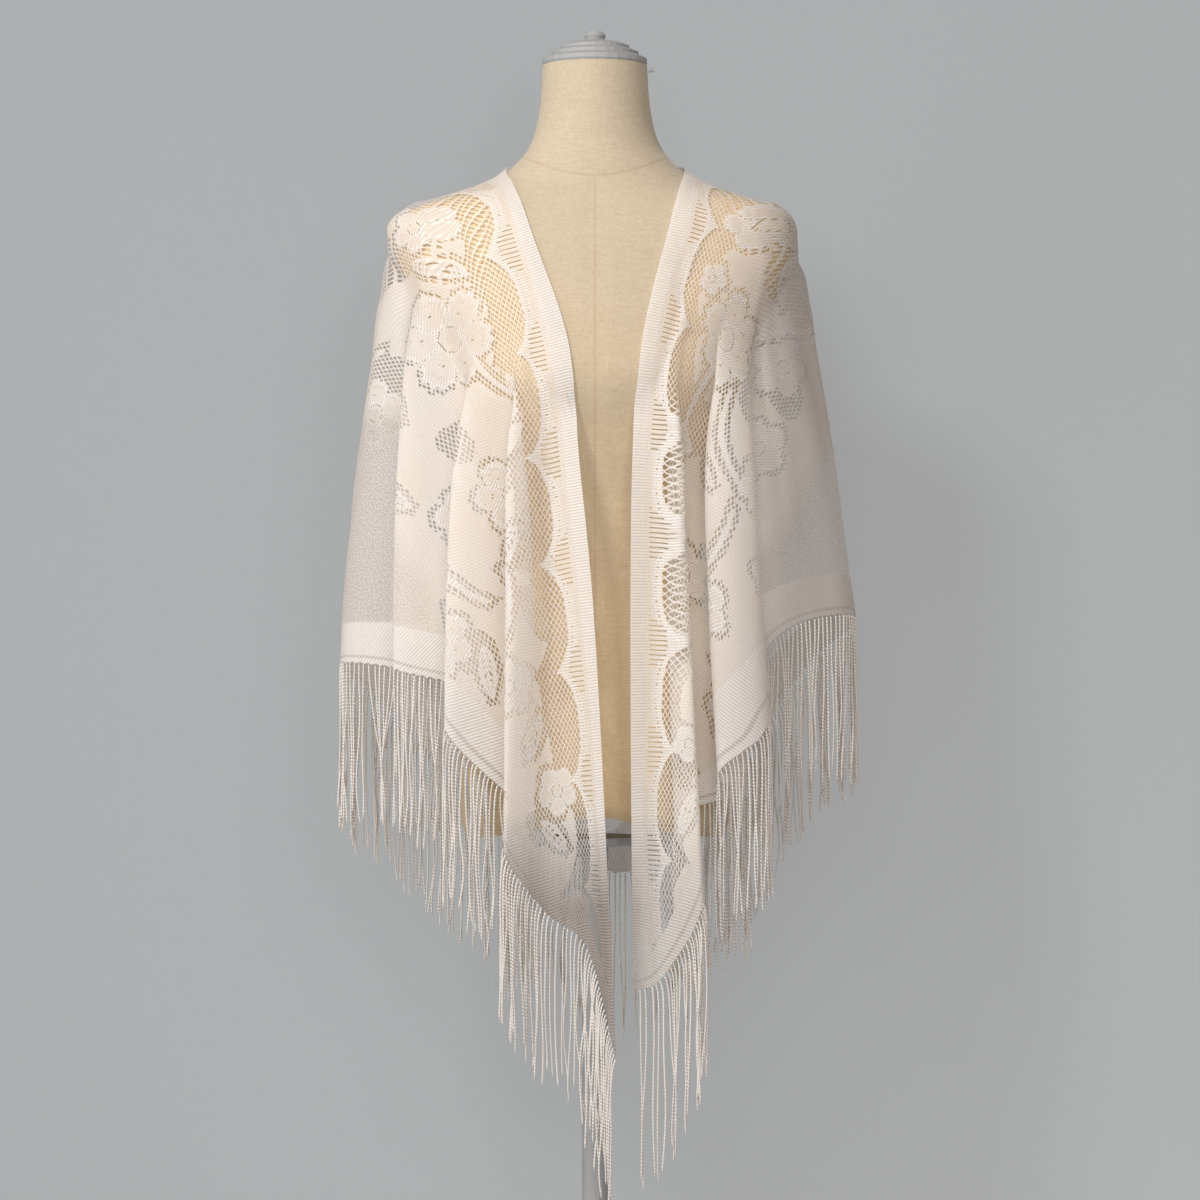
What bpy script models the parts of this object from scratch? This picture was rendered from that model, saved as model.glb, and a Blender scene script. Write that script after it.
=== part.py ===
"""A triangular lace shawl with a fringed hem, draped over a limbless dress form on a plain stand.

Metres, +Z up. The form faces -Y. The origin is the centre of the foot's underside.
Tables below are in millimetres. The shawl is one knitted triangle, built as five walls that meet at
folds, and each wall has a plain solid under its hem for the reach of the fringe.
"""

import math

import bmesh
import bpy
import numpy as np
from mathutils import Matrix

MM = 0.001

# ---------------------------------------------------------------- driving sizes, mm
CUT_LENGTH = 1950.0  # the shawl's long edge, tip to tip
CUT_DEPTH = 690.0  # from the long edge to the back point
CLOTH = 1.5  # wall of the lace
FRINGE_LENGTH = 160.0
FRINGE_WALL = 1.5
SEAM = 0.3  # between pieces that meet
BODY_GAP = 4.0  # from the form's surface to the middle of the cloth

POLE_RADIUS = 12.5
FOOT_RADIUS = 160.0
FOOT_THICK = 10.0
COLLAR_RADIUS = 24.0
COLLAR_HEIGHT = 34.0
FLANGE_RADIUS = 42.0
FLANGE_THICK = 8.0
FORM_BOTTOM = 407.0
NECK_TOP = 1146.0
HEM_ARCH = 22.0  # how far the form's lower rim rises in front

FORM_SIDES = 36
FOLD_STEPS = 4  # segments from one fold line to the next
ROWS = 14  # segments from the neckline to the hem

# ---------------------------------------------------------------- the form, a row for each section
# z, half width, depth to the front, depth to the back, middle in Y, squareness
FORM_SECTIONS = (
    ("neck_top", 1146.0, 50.0, 50.0, 50.0, 2.0, 2.0),
    ("neck_mid", 1115.0, 52.0, 52.0, 52.0, 5.0, 2.0),
    ("neck_low", 1084.0, 57.5, 56.0, 55.0, 9.0, 2.0),
    ("neck_bend", 1063.0, 67.0, 60.0, 57.0, 11.0, 2.0),
    ("neck_root", 1050.0, 79.0, 63.0, 60.0, 11.0, 2.0),
    ("collar", 1038.5, 92.0, 65.0, 62.0, 11.0, 2.0),
    ("slope_a", 1029.0, 109.0, 68.0, 66.0, 10.0, 2.05),
    ("slope_b", 1020.5, 132.0, 72.0, 70.0, 9.0, 2.1),
    ("slope_c", 1012.5, 157.0, 76.0, 75.0, 8.0, 2.15),
    ("slope_d", 1004.5, 177.5, 80.0, 79.0, 8.0, 2.2),
    ("shoulder_tip", 995.5, 187.5, 84.0, 84.0, 7.0, 2.25),
    ("cap", 976.0, 191.0, 91.0, 90.0, 5.0, 2.25),
    ("cap_low", 938.0, 182.0, 99.0, 95.0, 3.0, 2.3),
    ("underarm", 890.0, 158.0, 110.0, 96.0, 0.0, 2.3),
    ("bust", 843.0, 141.0, 118.0, 92.0, 0.0, 2.35),
    ("under_bust", 790.0, 125.0, 104.0, 84.0, 0.0, 2.25),
    ("rib", 725.0, 108.0, 88.0, 76.0, 0.0, 2.15),
    ("waist", 655.0, 101.0, 80.0, 72.0, 0.0, 2.1),
    ("belly", 588.0, 111.0, 87.0, 86.0, 0.0, 2.15),
    ("hip", 520.0, 125.0, 93.0, 102.0, 0.0, 2.2),
    ("seat", 462.0, 130.0, 94.0, 106.0, 0.0, 2.25),
    ("rim", 420.0, 128.0, 90.0, 100.0, 0.0, 2.25),
    ("bottom", 407.0, 122.0, 84.0, 94.0, 0.0, 2.25),
)

# ---------------------------------------------------------------- the drape, a row for each fold line
# Each fold line runs from the neckline to the hem. neck is how far its top is along the neckline from
# the front corner. Then come X and Y where it crosses the heights in LEVELS, and its end on the hem.
LEVELS = (950.0, 868.0, 768.0, 632.0)
NECK_ARC_LEFT = 148.0  # neckline from the left front corner to the back point's line
NECK_ARC_RIGHT = 78.0

LEFT_FOLDS = (
    # name, neck, x1, y1, x2, y2, x3, y3, x4, y4, hem x, hem y, hem z
    ("edge", 0, -49, -84, -23, -102, -15, -124, -2, -136, 20, -140, 207),
    ("lap", 3, -62, -84, -36, -106, -28, -121, -20, -131, -6, -135, 311),
    ("dip_1", 7, -76, -84, -52, -110, -44, -116, -42, -122, -46, -127, 345),
    ("ridge_1", 11, -91, -82, -70, -112, -80, -129, -82, -142, -84, -147, 406),
    ("dip_2", 16, -107, -78, -86, -101, -68, -102, -60, -103, -58, -103, 426),
    ("ridge_2", 22, -123, -70, -112, -88, -130, -103, -137, -111, -139, -117, 513),
    ("dip_3", 30, -140, -60, -136, -66, -110, -77, -101, -79, -102, -80, 541),
    ("ridge_3", 39, -158, -46, -177, -56, -184, -70, -188, -76, -188, -80, 568),
    ("dip_4", 49, -176, -24, -184, -30, -166, -43, -151, -46, -149, -46, 563),
    ("side", 60, -201, 4, -213, -4, -222, -9, -233, -13, -236, -14, 573),
    ("flank", 72, -198, 46, -212, 42, -226, 40, -238, 38, -240, 38, 561),
    ("blade", 86, -164, 78, -180, 84, -190, 86, -198, 93, -201, 95, 522),
    ("back_1", 104, -108, 94, -115, 106, -120, 113, -128, 112, -130, 112, 452),
    ("back_2", 125, -42, 99, -44, 109, -44, 113, -46, 124, -48, 128, 396),
    ("point", 148, 28, 99, 28, 109, 28, 118, 28, 117, 28, 118, 362),
)
RIGHT_FOLDS = (
    ("edge", 0, 60, -84, 41, -102, 35, -124, 33, -136, 35, -138, 272),
    ("lap", 2, 76, -84, 57, -106, 56, -121, 58, -130, 62, -134, 284),
    ("ridge_1", 5, 91, -82, 75, -112, 82, -131, 87, -142, 100, -148, 359),
    ("dip_1", 8, 104, -78, 88, -101, 71, -102, 69, -108, 75, -110, 427),
    ("dip_2", 12, 117, -73, 107, -84, 124, -72, 133, -74, 142, -76, 455),
    ("ridge_2", 16, 131, -66, 118, -88, 104, -107, 106, -116, 114, -120, 471),
    ("ridge_3", 21, 147, -56, 140, -74, 145, -100, 153, -106, 161, -109, 515),
    ("dip_3", 27, 161, -42, 153, -52, 144, -54, 150, -50, 157, -49, 574),
    ("fold_4", 33, 176, -22, 175, -38, 182, -43, 189, -46, 189, -48, 609),
    ("side", 40, 194, 6, 205, -2, 222, -4, 243, -6, 245, -6, 619),
    ("flank", 46, 195, 46, 212, 40, 227, 38, 243, 36, 246, 36, 603),
    ("blade", 53, 166, 76, 182, 80, 194, 80, 205, 86, 207, 88, 566),
    ("back_1", 61, 134, 88, 142, 98, 148, 105, 153, 104, 152, 106, 482),
    ("back_2", 69, 86, 95, 90, 107, 92, 110, 95, 122, 93, 126, 407),
    ("point", 78, 28, 99, 28, 109, 28, 118, 28, 117, 28, 118, 362),
)
# The walls, each from one fold line to another, counted from the left front edge.
WALLS = (
    ("lace_front_left", 0, 5),
    ("lace_side_left", 5, 11),
    ("lace_back", 11, 17),
    ("lace_side_right", 17, 22),
    ("lace_front_right", 22, 28),
)

# ---------------------------------------------------------------- colours
COLOURS = {
    "lace": ((0.88, 0.83, 0.78, 1), 0.75, 0.0),
    "fringe": ((0.86, 0.80, 0.75, 1), 0.7, 0.0),
    "linen": ((0.70, 0.58, 0.42, 1), 0.85, 0.0),
    "metal": ((0.46, 0.47, 0.48, 1), 0.35, 1.0),
}

# The cloth stands off the tip of the left shoulder, and falls straight below it: height and how far out.
TIP_Z = (876, 890, 900, 910, 920, 930, 940, 950, 960, 970, 980, 990, 1000, 1012, 1028)
TIP_OUT = (0, -1.0, -1.7, -2.8, -4.4, -4.4, -2.4, 1.0, 6.4, 4.8, 4.8, 6.4, 9.2, 6.5, 0)



def hermite_table(at, keys, values):
    """Smooth curve through a table that never overshoots between two rows."""
    keys, values = np.asarray(keys, float), np.asarray(values, float)
    step = np.diff(keys)
    rise = np.diff(values) / step
    slope = np.zeros(len(keys))
    slope[0], slope[-1] = rise[0], rise[-1]
    same = rise[:-1] * rise[1:] > 0
    slope[1:-1][same] = (2 * rise[:-1] * rise[1:])[same] / (rise[:-1] + rise[1:])[same]
    at = np.clip(at, keys[0], keys[-1])
    i = np.clip(np.searchsorted(keys, at) - 1, 0, len(step) - 1)
    t = (at - keys[i]) / step[i]
    return (
        (2 * t**3 - 3 * t**2 + 1) * values[i]
        + (t**3 - 2 * t**2 + t) * step[i] * slope[i]
        + (3 * t**2 - 2 * t**3) * values[i + 1]
        + (t**3 - t**2) * step[i] * slope[i + 1]
    )


SECTION_Z = [row[1] for row in FORM_SECTIONS][::-1]


def form_size(z):
    """Half width, front and back depth, middle and squareness of the form at height z."""
    return [
        hermite_table(z, SECTION_Z, [row[k] for row in FORM_SECTIONS][::-1])
        for k in range(2, 7)
    ]


def form_ratio(p):
    """1 on the form's surface, less inside it, more outside it."""
    wide, front, back, middle, square = form_size(p[..., 2])
    deep = np.where(p[..., 1] < middle, front, back)
    return (
        (np.abs(p[..., 0]) / wide) ** square
        + (np.abs(p[..., 1] - middle) / deep) ** square
    ) ** (1 / square)


def clear_of_form(p, gap):
    """Moves points that are nearer to the form than gap out along its surface's normal."""
    p = p.copy()
    near = np.ones(p.shape[:-1], bool)
    for _ in range(16):
        q = p[near]
        here = form_ratio(q)
        slope = np.stack(
            [form_ratio(q + step) - here for step in np.eye(3) * 0.5], axis=-1
        ) / 0.5
        size = np.linalg.norm(slope, axis=-1, keepdims=True) + 1e-9
        away = (here[..., None] - 1) / size
        p[near] = q + np.where(away < gap, np.minimum(gap - away, 6.0) * slope / size, 0.0) * 0.9
        near[near] = away[..., 0] < gap - 0.02
        if not near.any():
            break
    return p


def neckline(arc, whole, side):
    """A point on the shawl's neckline, arc mm from the front corner, on its way round the nape."""
    turn = math.pi * arc / (NECK_ARC_LEFT + NECK_ARC_RIGHT)
    return np.array(
        [side * 83.0 * math.cos(turn), -8.0 + 76.0 * math.sin(turn), 1042.0 + 10.0 * math.sin(turn)]
    )


def fold_controls():
    """The control points of all fold lines, from the left front edge round the back to the right one."""
    rows = []
    for side, table in ((-1, LEFT_FOLDS), (1, RIGHT_FOLDS[-2::-1])):
        for name, neck, *numbers in table:
            levels = [
                (numbers[2 * k], numbers[2 * k + 1], LEVELS[k]) for k in range(len(LEVELS))
            ]
            rows.append([neckline(neck, 0, side), *map(np.array, levels), np.array(numbers[8:])])
    return np.array(rows, float)


def between(rows, at):
    """Smooth interpolation of rows at fractional row numbers."""
    at = np.clip(np.asarray(at, float), 0, len(rows) - 1)
    i = np.minimum(at.astype(int), len(rows) - 2)
    t = (at - i).reshape(-1, *[1] * (rows.ndim - 1))
    before = rows[np.maximum(i - 1, 0)]
    after = rows[np.minimum(i + 2, len(rows) - 1)]
    p, q = rows[i], rows[i + 1]
    first, span, last = (np.linalg.norm(v, axis=-1, keepdims=True) for v in (p - before, q - p, after - q))

    def tangent(way, one, other):
        """Along way, and long enough to round a tight fold."""
        size = 0.7 * np.minimum(one, other) + 0.3 * np.maximum(one, other)
        return way / (np.linalg.norm(way, axis=-1, keepdims=True) + 1e-6) * size

    m = tangent(q - before, np.where(first > 0, first, span), span)
    n = tangent(after - p, np.where(last > 0, last, span), span)
    return (
        (2 * t**3 - 3 * t**2 + 1) * p
        + (t**3 - 2 * t**2 + t) * m
        + (3 * t**2 - 2 * t**3) * q
        + (t**3 - t**2) * n
    )


def along(points, share):
    """A smooth line through the points, read at the given shares of its length, kept clear of the form."""
    ends = np.concatenate([[2 * points[0] - points[1]], points, [2 * points[-1] - points[-2]]])
    line = []
    for i in range(len(points) - 1):
        a, b, c, d = ends[i : i + 4]
        ab, bc, cd = (np.linalg.norm(v) ** 0.5 + 1e-6 for v in (b - a, c - b, d - c))
        m = bc * ((b - a) / ab - (c - a) / (ab + bc)) + (c - b)
        n = bc * ((d - c) / cd - (d - b) / (bc + cd)) + (c - b)
        t = np.linspace(0, 1, 13)[:, None]
        line.append(
            ((2 * t**3 - 3 * t**2 + 1) * b + (t**3 - 2 * t**2 + t) * m
             + (3 * t**2 - 2 * t**3) * c + (t**3 - t**2) * n)[: None if i == len(points) - 2 else -1]
        )
    line = clear_of_form(np.concatenate(line), BODY_GAP)
    tip = np.clip((-line[:, 0] - 140) / 45, 0, 1) * np.interp(line[:, 2], TIP_Z, TIP_OUT)
    line += tip[:, None] * np.array([-1.0, 0, 0.4])
    run = np.concatenate([[0], np.cumsum(np.linalg.norm(np.diff(line, axis=0), axis=1))])
    return np.stack([np.interp(share * run[-1], run, line[:, k]) for k in range(3)], axis=1)


def drape(columns, shares):
    """The cloth's middle surface: a grid of points, a column for each fold number, a row for each share."""
    controls = between(fold_controls(), columns)
    grid = np.array([along(c, shares) for c in controls])
    # The middles of the facets are kept clear too, by moving their corners out.
    for _ in range(8):
        corners = grid[:-1, :-1], grid[1:, :-1], grid[:-1, 1:], grid[1:, 1:]
        places = (
            (slice(None, -1), slice(None, -1)),
            (slice(1, None), slice(None, -1)),
            (slice(None, -1), slice(1, None)),
            (slice(1, None), slice(1, None)),
        )
        push = np.zeros_like(grid)
        for a, b in ((0, 1), (0, 2), (0, 3), (1, 2), (1, 3), (2, 3)):
            middle = (corners[a] + corners[b]) / 2
            moved = clear_of_form(middle, BODY_GAP) - middle
            for k in (a, b):
                here = push[places[k]]
                more = np.linalg.norm(moved, axis=-1) > np.linalg.norm(here, axis=-1)
                here[more] = moved[more]
        grid = grid + push
    return clear_of_form(grid, BODY_GAP)


def normals(grid):
    """The outward normal at each point of a grid."""
    n = np.cross(np.gradient(grid, axis=1), np.gradient(grid, axis=0))
    return n / (np.linalg.norm(n, axis=-1, keepdims=True) + 1e-12)


def material(kind):
    made = bpy.data.materials.get(kind)
    if made is None:
        colour, rough, metallic = COLOURS[kind]
        made = bpy.data.materials.new(kind)
        made.use_nodes = True
        shader = made.node_tree.nodes["Principled BSDF"]
        shader.inputs["Base Color"].default_value = colour
        shader.inputs["Roughness"].default_value = rough
        shader.inputs["Metallic"].default_value = metallic
        made.diffuse_color = colour
    return made


def add(name, mesh, kind, place=(0, 0, 0)):
    mesh.materials.append(material(kind))
    obj = bpy.data.objects.new(name, mesh)
    obj.location = place
    bpy.context.scene.collection.objects.link(obj)
    return obj


def wall(name, face, back, kind):
    """A closed wall between two grids of points with the same rows and columns."""
    across, down = face.shape[:2]
    bm = bmesh.new()
    sheets = [
        [[bm.verts.new(tuple(p * MM)) for p in column] for column in grid] for grid in (face, back)
    ]
    outer, inner = sheets
    for i in range(across - 1):
        for j in range(down - 1):
            bm.faces.new((outer[i][j], outer[i + 1][j], outer[i + 1][j + 1], outer[i][j + 1]))
            bm.faces.new((inner[i][j], inner[i][j + 1], inner[i + 1][j + 1], inner[i + 1][j]))
    rim = (
        [(i, 0) for i in range(across)]
        + [(across - 1, j) for j in range(1, down)]
        + [(i, down - 1) for i in range(across - 2, -1, -1)]
        + [(0, j) for j in range(down - 2, 0, -1)]
    )
    for (a, b), (c, d) in zip(rim, rim[1:] + rim[:1]):
        bm.faces.new((outer[c][d], outer[a][b], inner[a][b], inner[c][d]))
    bmesh.ops.triangulate(bm, faces=bm.faces[:])
    bmesh.ops.recalc_face_normals(bm, faces=bm.faces[:])
    mesh = bpy.data.meshes.new(name)
    bm.to_mesh(mesh)
    bm.free()
    mesh.shade_smooth()
    mesh.set_sharp_from_angle(angle=math.radians(60))
    return add(name, mesh, kind)


def stood_back(grid, out, end, gap):
    """The grid with one end column moved back by gap, square to its normals."""
    grid = grid.copy()
    inner = 1 if end == 0 else -2
    away = grid[inner] - grid[end]
    away -= (away * out[end]).sum(-1, keepdims=True) * out[end]
    away /= np.linalg.norm(away, axis=-1, keepdims=True) + 1e-9
    grid[end] += away * gap
    return grid


def cloth():
    """The five walls of the shawl and the fringe under each."""
    # The rows crowd towards the neckline, where the cloth bends over the shoulders.
    shares = np.linspace(0, 1, ROWS + 1)
    shares = 0.6 * shares + 0.4 * shares**2
    last_fold = WALLS[-1][2]
    # The columns crowd towards the fold lines, so that a tight fold stays round.
    columns = np.linspace(0, last_fold, last_fold * FOLD_STEPS + 1)
    columns -= 0.09 * np.sin(2 * math.pi * columns)
    middle = drape(columns, shares)
    out = normals(middle)
    # The fringe starts under the hem, further down where the hem is steep, so that the gap stays.
    run = np.gradient(middle[:, -1], axis=0)
    level = np.linalg.norm(run[:, :2], axis=1) / np.linalg.norm(run, axis=1)
    drop = (3 * SEAM + CLOTH / 2) / np.clip(level, 0.12, 1)
    down = np.array([0, 0, -1.0])
    low = middle[:, -1] + drop[:, None] * down
    hung = low[:, None] + np.linspace(0, FRINGE_LENGTH, 3)[None, :, None] * down
    flat = np.stack([run[:, 1], -run[:, 0], np.zeros(len(run))], axis=1)
    flat *= np.sign((flat * out[:, -1]).sum(-1, keepdims=True))
    flat /= np.linalg.norm(flat, axis=-1, keepdims=True) + 1e-9
    flat = np.repeat(flat[:, None], 3, axis=1)
    for name, first, last in WALLS:
        span = slice(first * FOLD_STEPS, last * FOLD_STEPS + 1)
        for grid, normal, title, thick, kind, gap in (
            (middle, out, name, CLOTH, "lace", 0.7 * SEAM),
            (hung, flat, name.replace("lace", "fringe"), FRINGE_WALL, "fringe", 2 * SEAM),
        ):
            piece, outward = grid[span], normal[span]
            if first > 0:
                piece = stood_back(piece, outward, 0, gap)
            if last < last_fold:
                piece = stood_back(piece, outward, -1, gap)
            wall(title, piece + outward * thick / 2, piece - outward * thick / 2, kind)


def torso():
    """The form's body and neck, one smooth closed solid."""
    levels = np.array(SECTION_Z[::-1])
    levels = np.sort(np.concatenate([levels, (levels[10:-1] + levels[11:]) / 2]))
    bm = bmesh.new()
    rings = []
    for z in levels:
        wide, front, back, middle, square = (float(v) for v in form_size(z))
        ring = []
        for k in range(FORM_SIDES):
            turn = 2 * math.pi * k / FORM_SIDES
            c, s = math.cos(turn), math.sin(turn)
            x = wide * math.copysign(abs(c) ** (2 / square), c)
            y = (back if s > 0 else front) * math.copysign(abs(s) ** (2 / square), s) + middle
            low = max(0.0, 1 - (z - FORM_BOTTOM) / 110)
            lift = HEM_ARCH * low * max(0.0, -s) * math.exp(-((x / 75) ** 2))
            ring.append(bm.verts.new((x * MM, y * MM, (z + lift) * MM)))
        rings.append(ring)
    for low, high in zip(rings, rings[1:]):
        for k in range(FORM_SIDES):
            m = (k + 1) % FORM_SIDES
            bm.faces.new((low[k], low[m], high[m], high[k]))
    base = bm.verts.new((0, 0, FORM_BOTTOM * MM))
    for k in range(FORM_SIDES):
        bm.faces.new((rings[0][(k + 1) % FORM_SIDES], rings[0][k], base))
    bm.faces.new(rings[-1])
    bmesh.ops.triangulate(bm, faces=bm.faces[:])
    bmesh.ops.recalc_face_normals(bm, faces=bm.faces[:])
    mesh = bpy.data.meshes.new("form_torso")
    bm.to_mesh(mesh)
    bm.free()
    mesh.shade_smooth()
    mesh.set_sharp_from_angle(angle=math.radians(45))
    return add("form_torso", mesh, "linen")


def turned(name, profile, sides, kind, place=(0, 0, 0), lean=0.0):
    """A solid turned about Z from (radius, height) pairs, bottom to top."""
    bm = bmesh.new()
    rings = []
    for radius, z in profile:
        if radius == 0:
            rings.append([bm.verts.new((0, 0, z * MM))])
        else:
            rings.append(
                [
                    bm.verts.new(
                        (
                            radius * MM * math.cos(2 * math.pi * k / sides),
                            radius * MM * math.sin(2 * math.pi * k / sides),
                            z * MM,
                        )
                    )
                    for k in range(sides)
                ]
            )
    for low, high in zip(rings, rings[1:]):
        for k in range(sides):
            m = (k + 1) % sides
            if len(low) == 1:
                bm.faces.new((low[0], high[m], high[k]))
            elif len(high) == 1:
                bm.faces.new((low[k], low[m], high[0]))
            else:
                bm.faces.new((low[k], low[m], high[m], high[k]))
    if len(rings[0]) > 1:
        bm.faces.new(rings[0][::-1])
    if len(rings[-1]) > 1:
        bm.faces.new(rings[-1])
    bmesh.ops.recalc_face_normals(bm, faces=bm.faces[:])
    bmesh.ops.rotate(bm, verts=bm.verts[:], matrix=Matrix.Rotation(lean, 3, "Y"))
    mesh = bpy.data.meshes.new(name)
    bm.to_mesh(mesh)
    bm.free()
    mesh.shade_smooth()
    mesh.set_sharp_from_angle(angle=math.radians(35))
    return add(name, mesh, kind, place)


def hardware():
    neck_middle = FORM_SECTIONS[0][5] * MM
    turned(
        "neck_cap",
        [(49, 0), (50, 2), (50, 6), (45, 8.5), (42, 9), (42, 12.5), (36, 15), (33, 15.5), (33, 18.5), (25, 21.5), (12, 23.5), (9, 25), (10.5, 28.5), (8, 32), (0, 33)],
        28,
        "metal",
        (0, neck_middle, (NECK_TOP + SEAM) * MM),
    )
    turned("neck_pin", [(0.8, 0), (0.8, 2.5), (1.6, 3.0), (1.8, 4.4), (1.0, 5.6)], 10, "metal", (0.0512, -0.004, 1.1395), math.radians(72))
    flange_low = FORM_BOTTOM - SEAM - FLANGE_THICK
    turned("pole_flange", [(FLANGE_RADIUS - 2, 0), (FLANGE_RADIUS, 2), (FLANGE_RADIUS, FLANGE_THICK)], 24, "metal", (0, 0, flange_low * MM))
    collar_top = FOOT_THICK + COLLAR_HEIGHT
    turned(
        "stand_pole",
        [(POLE_RADIUS, 0), (POLE_RADIUS, flange_low - collar_top - 2 * SEAM)],
        20,
        "metal",
        (0, 0, (collar_top + SEAM) * MM),
    )
    turned(
        "stand_foot",
        [(FOOT_RADIUS, 0), (FOOT_RADIUS, 5.5), (FOOT_RADIUS - 3, 8.5), (FOOT_RADIUS - 12, FOOT_THICK), (COLLAR_RADIUS + 6, FOOT_THICK + 3), (COLLAR_RADIUS, FOOT_THICK + 7), (COLLAR_RADIUS, collar_top - 3), (COLLAR_RADIUS - 3, collar_top)],
        40,
        "metal",
    )


def main():
    for obj in list(bpy.data.objects):
        bpy.data.objects.remove(obj)
    torso()
    hardware()
    cloth()


main()
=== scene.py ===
"""The lace shawl on its dress form, as the photograph shows it: knitted lace with real holes, a fringe of
twisted cords, a linen form and a plain metal stand."""

import math

import bpy
import numpy as np
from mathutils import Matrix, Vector
from mathutils.bvhtree import BVHTree

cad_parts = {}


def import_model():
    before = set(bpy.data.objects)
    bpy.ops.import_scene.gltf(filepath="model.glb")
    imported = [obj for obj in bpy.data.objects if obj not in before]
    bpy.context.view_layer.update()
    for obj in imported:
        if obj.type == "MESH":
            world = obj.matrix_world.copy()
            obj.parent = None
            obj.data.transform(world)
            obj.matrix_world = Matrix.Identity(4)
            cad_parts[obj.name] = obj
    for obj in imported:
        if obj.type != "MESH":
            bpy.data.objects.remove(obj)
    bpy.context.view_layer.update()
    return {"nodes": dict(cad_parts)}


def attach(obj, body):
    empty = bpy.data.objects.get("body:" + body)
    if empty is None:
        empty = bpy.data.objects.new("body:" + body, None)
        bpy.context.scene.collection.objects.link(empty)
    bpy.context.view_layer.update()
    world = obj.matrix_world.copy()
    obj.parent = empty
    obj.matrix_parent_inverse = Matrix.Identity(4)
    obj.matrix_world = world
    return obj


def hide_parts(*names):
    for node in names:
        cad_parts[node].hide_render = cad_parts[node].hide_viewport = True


# ---------------------------------------------------------------- sizes, mm
MM = 0.001
CUT_LENGTH = 1950.0  # the flat triangle's long edge, tip to tip
CUT_DEPTH = 690.0  # from the long edge to the back point
BODY_GAP = 4.0
HEM_BAND = 38.0
LACE_DEPTH = 285.0  # how far the flower lace reaches in from the long edge
NET_T, NET_S = 4.5, 7.4  # pitch of the net's diamonds, across and along the long edge
FINE_T, FINE_S = NET_T / 4, NET_S / 5
NET_THREAD = 0.34  # share of a diamond's half that is thread
BAY_THREAD = 0.26  # the same in the bays beside the border
NET_RING = 7.0  # width of the net round a motif
DRIFT = 0.62
MOTIF_RAISE = 0.5
PIN = 0.8  # how open a single pin hole is
BAY_NEAR, BAY_DEEP = 24.0, 21.0  # the scalloped border: from the edge to a bay, and from there to a cusp
ARM_PLAIN = 75.0  # how much less deep the flowers reach over the left arm
COARSE_T = 5.0
SCALLOP = 98.0  # repeat of the scalloped border

FORM_SECTIONS = (
    ("neck_top", 1146.0, 50.0, 50.0, 50.0, 2.0, 2.0),
    ("neck_mid", 1115.0, 52.0, 52.0, 52.0, 5.0, 2.0),
    ("neck_low", 1084.0, 57.5, 56.0, 55.0, 9.0, 2.0),
    ("neck_bend", 1063.0, 67.0, 60.0, 57.0, 11.0, 2.0),
    ("neck_root", 1050.0, 79.0, 63.0, 60.0, 11.0, 2.0),
    ("collar", 1038.5, 92.0, 65.0, 62.0, 11.0, 2.0),
    ("slope_a", 1029.0, 109.0, 68.0, 66.0, 10.0, 2.05),
    ("slope_b", 1020.5, 132.0, 72.0, 70.0, 9.0, 2.1),
    ("slope_c", 1012.5, 157.0, 76.0, 75.0, 8.0, 2.15),
    ("slope_d", 1004.5, 177.5, 80.0, 79.0, 8.0, 2.2),
    ("shoulder_tip", 995.5, 187.5, 84.0, 84.0, 7.0, 2.25),
    ("cap", 976.0, 191.0, 91.0, 90.0, 5.0, 2.25),
    ("cap_low", 938.0, 182.0, 99.0, 95.0, 3.0, 2.3),
    ("underarm", 890.0, 158.0, 110.0, 96.0, 0.0, 2.3),
    ("bust", 843.0, 141.0, 118.0, 92.0, 0.0, 2.35),
    ("under_bust", 790.0, 125.0, 104.0, 84.0, 0.0, 2.25),
    ("rib", 725.0, 108.0, 88.0, 76.0, 0.0, 2.15),
    ("waist", 655.0, 101.0, 80.0, 72.0, 0.0, 2.1),
    ("belly", 588.0, 111.0, 87.0, 86.0, 0.0, 2.15),
    ("hip", 520.0, 125.0, 93.0, 102.0, 0.0, 2.2),
    ("seat", 462.0, 130.0, 94.0, 106.0, 0.0, 2.25),
    ("rim", 420.0, 128.0, 90.0, 100.0, 0.0, 2.25),
    ("bottom", 407.0, 122.0, 84.0, 94.0, 0.0, 2.25),
)
HEM_ARCH = 22.0
WALL_BACK = 0.345

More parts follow.
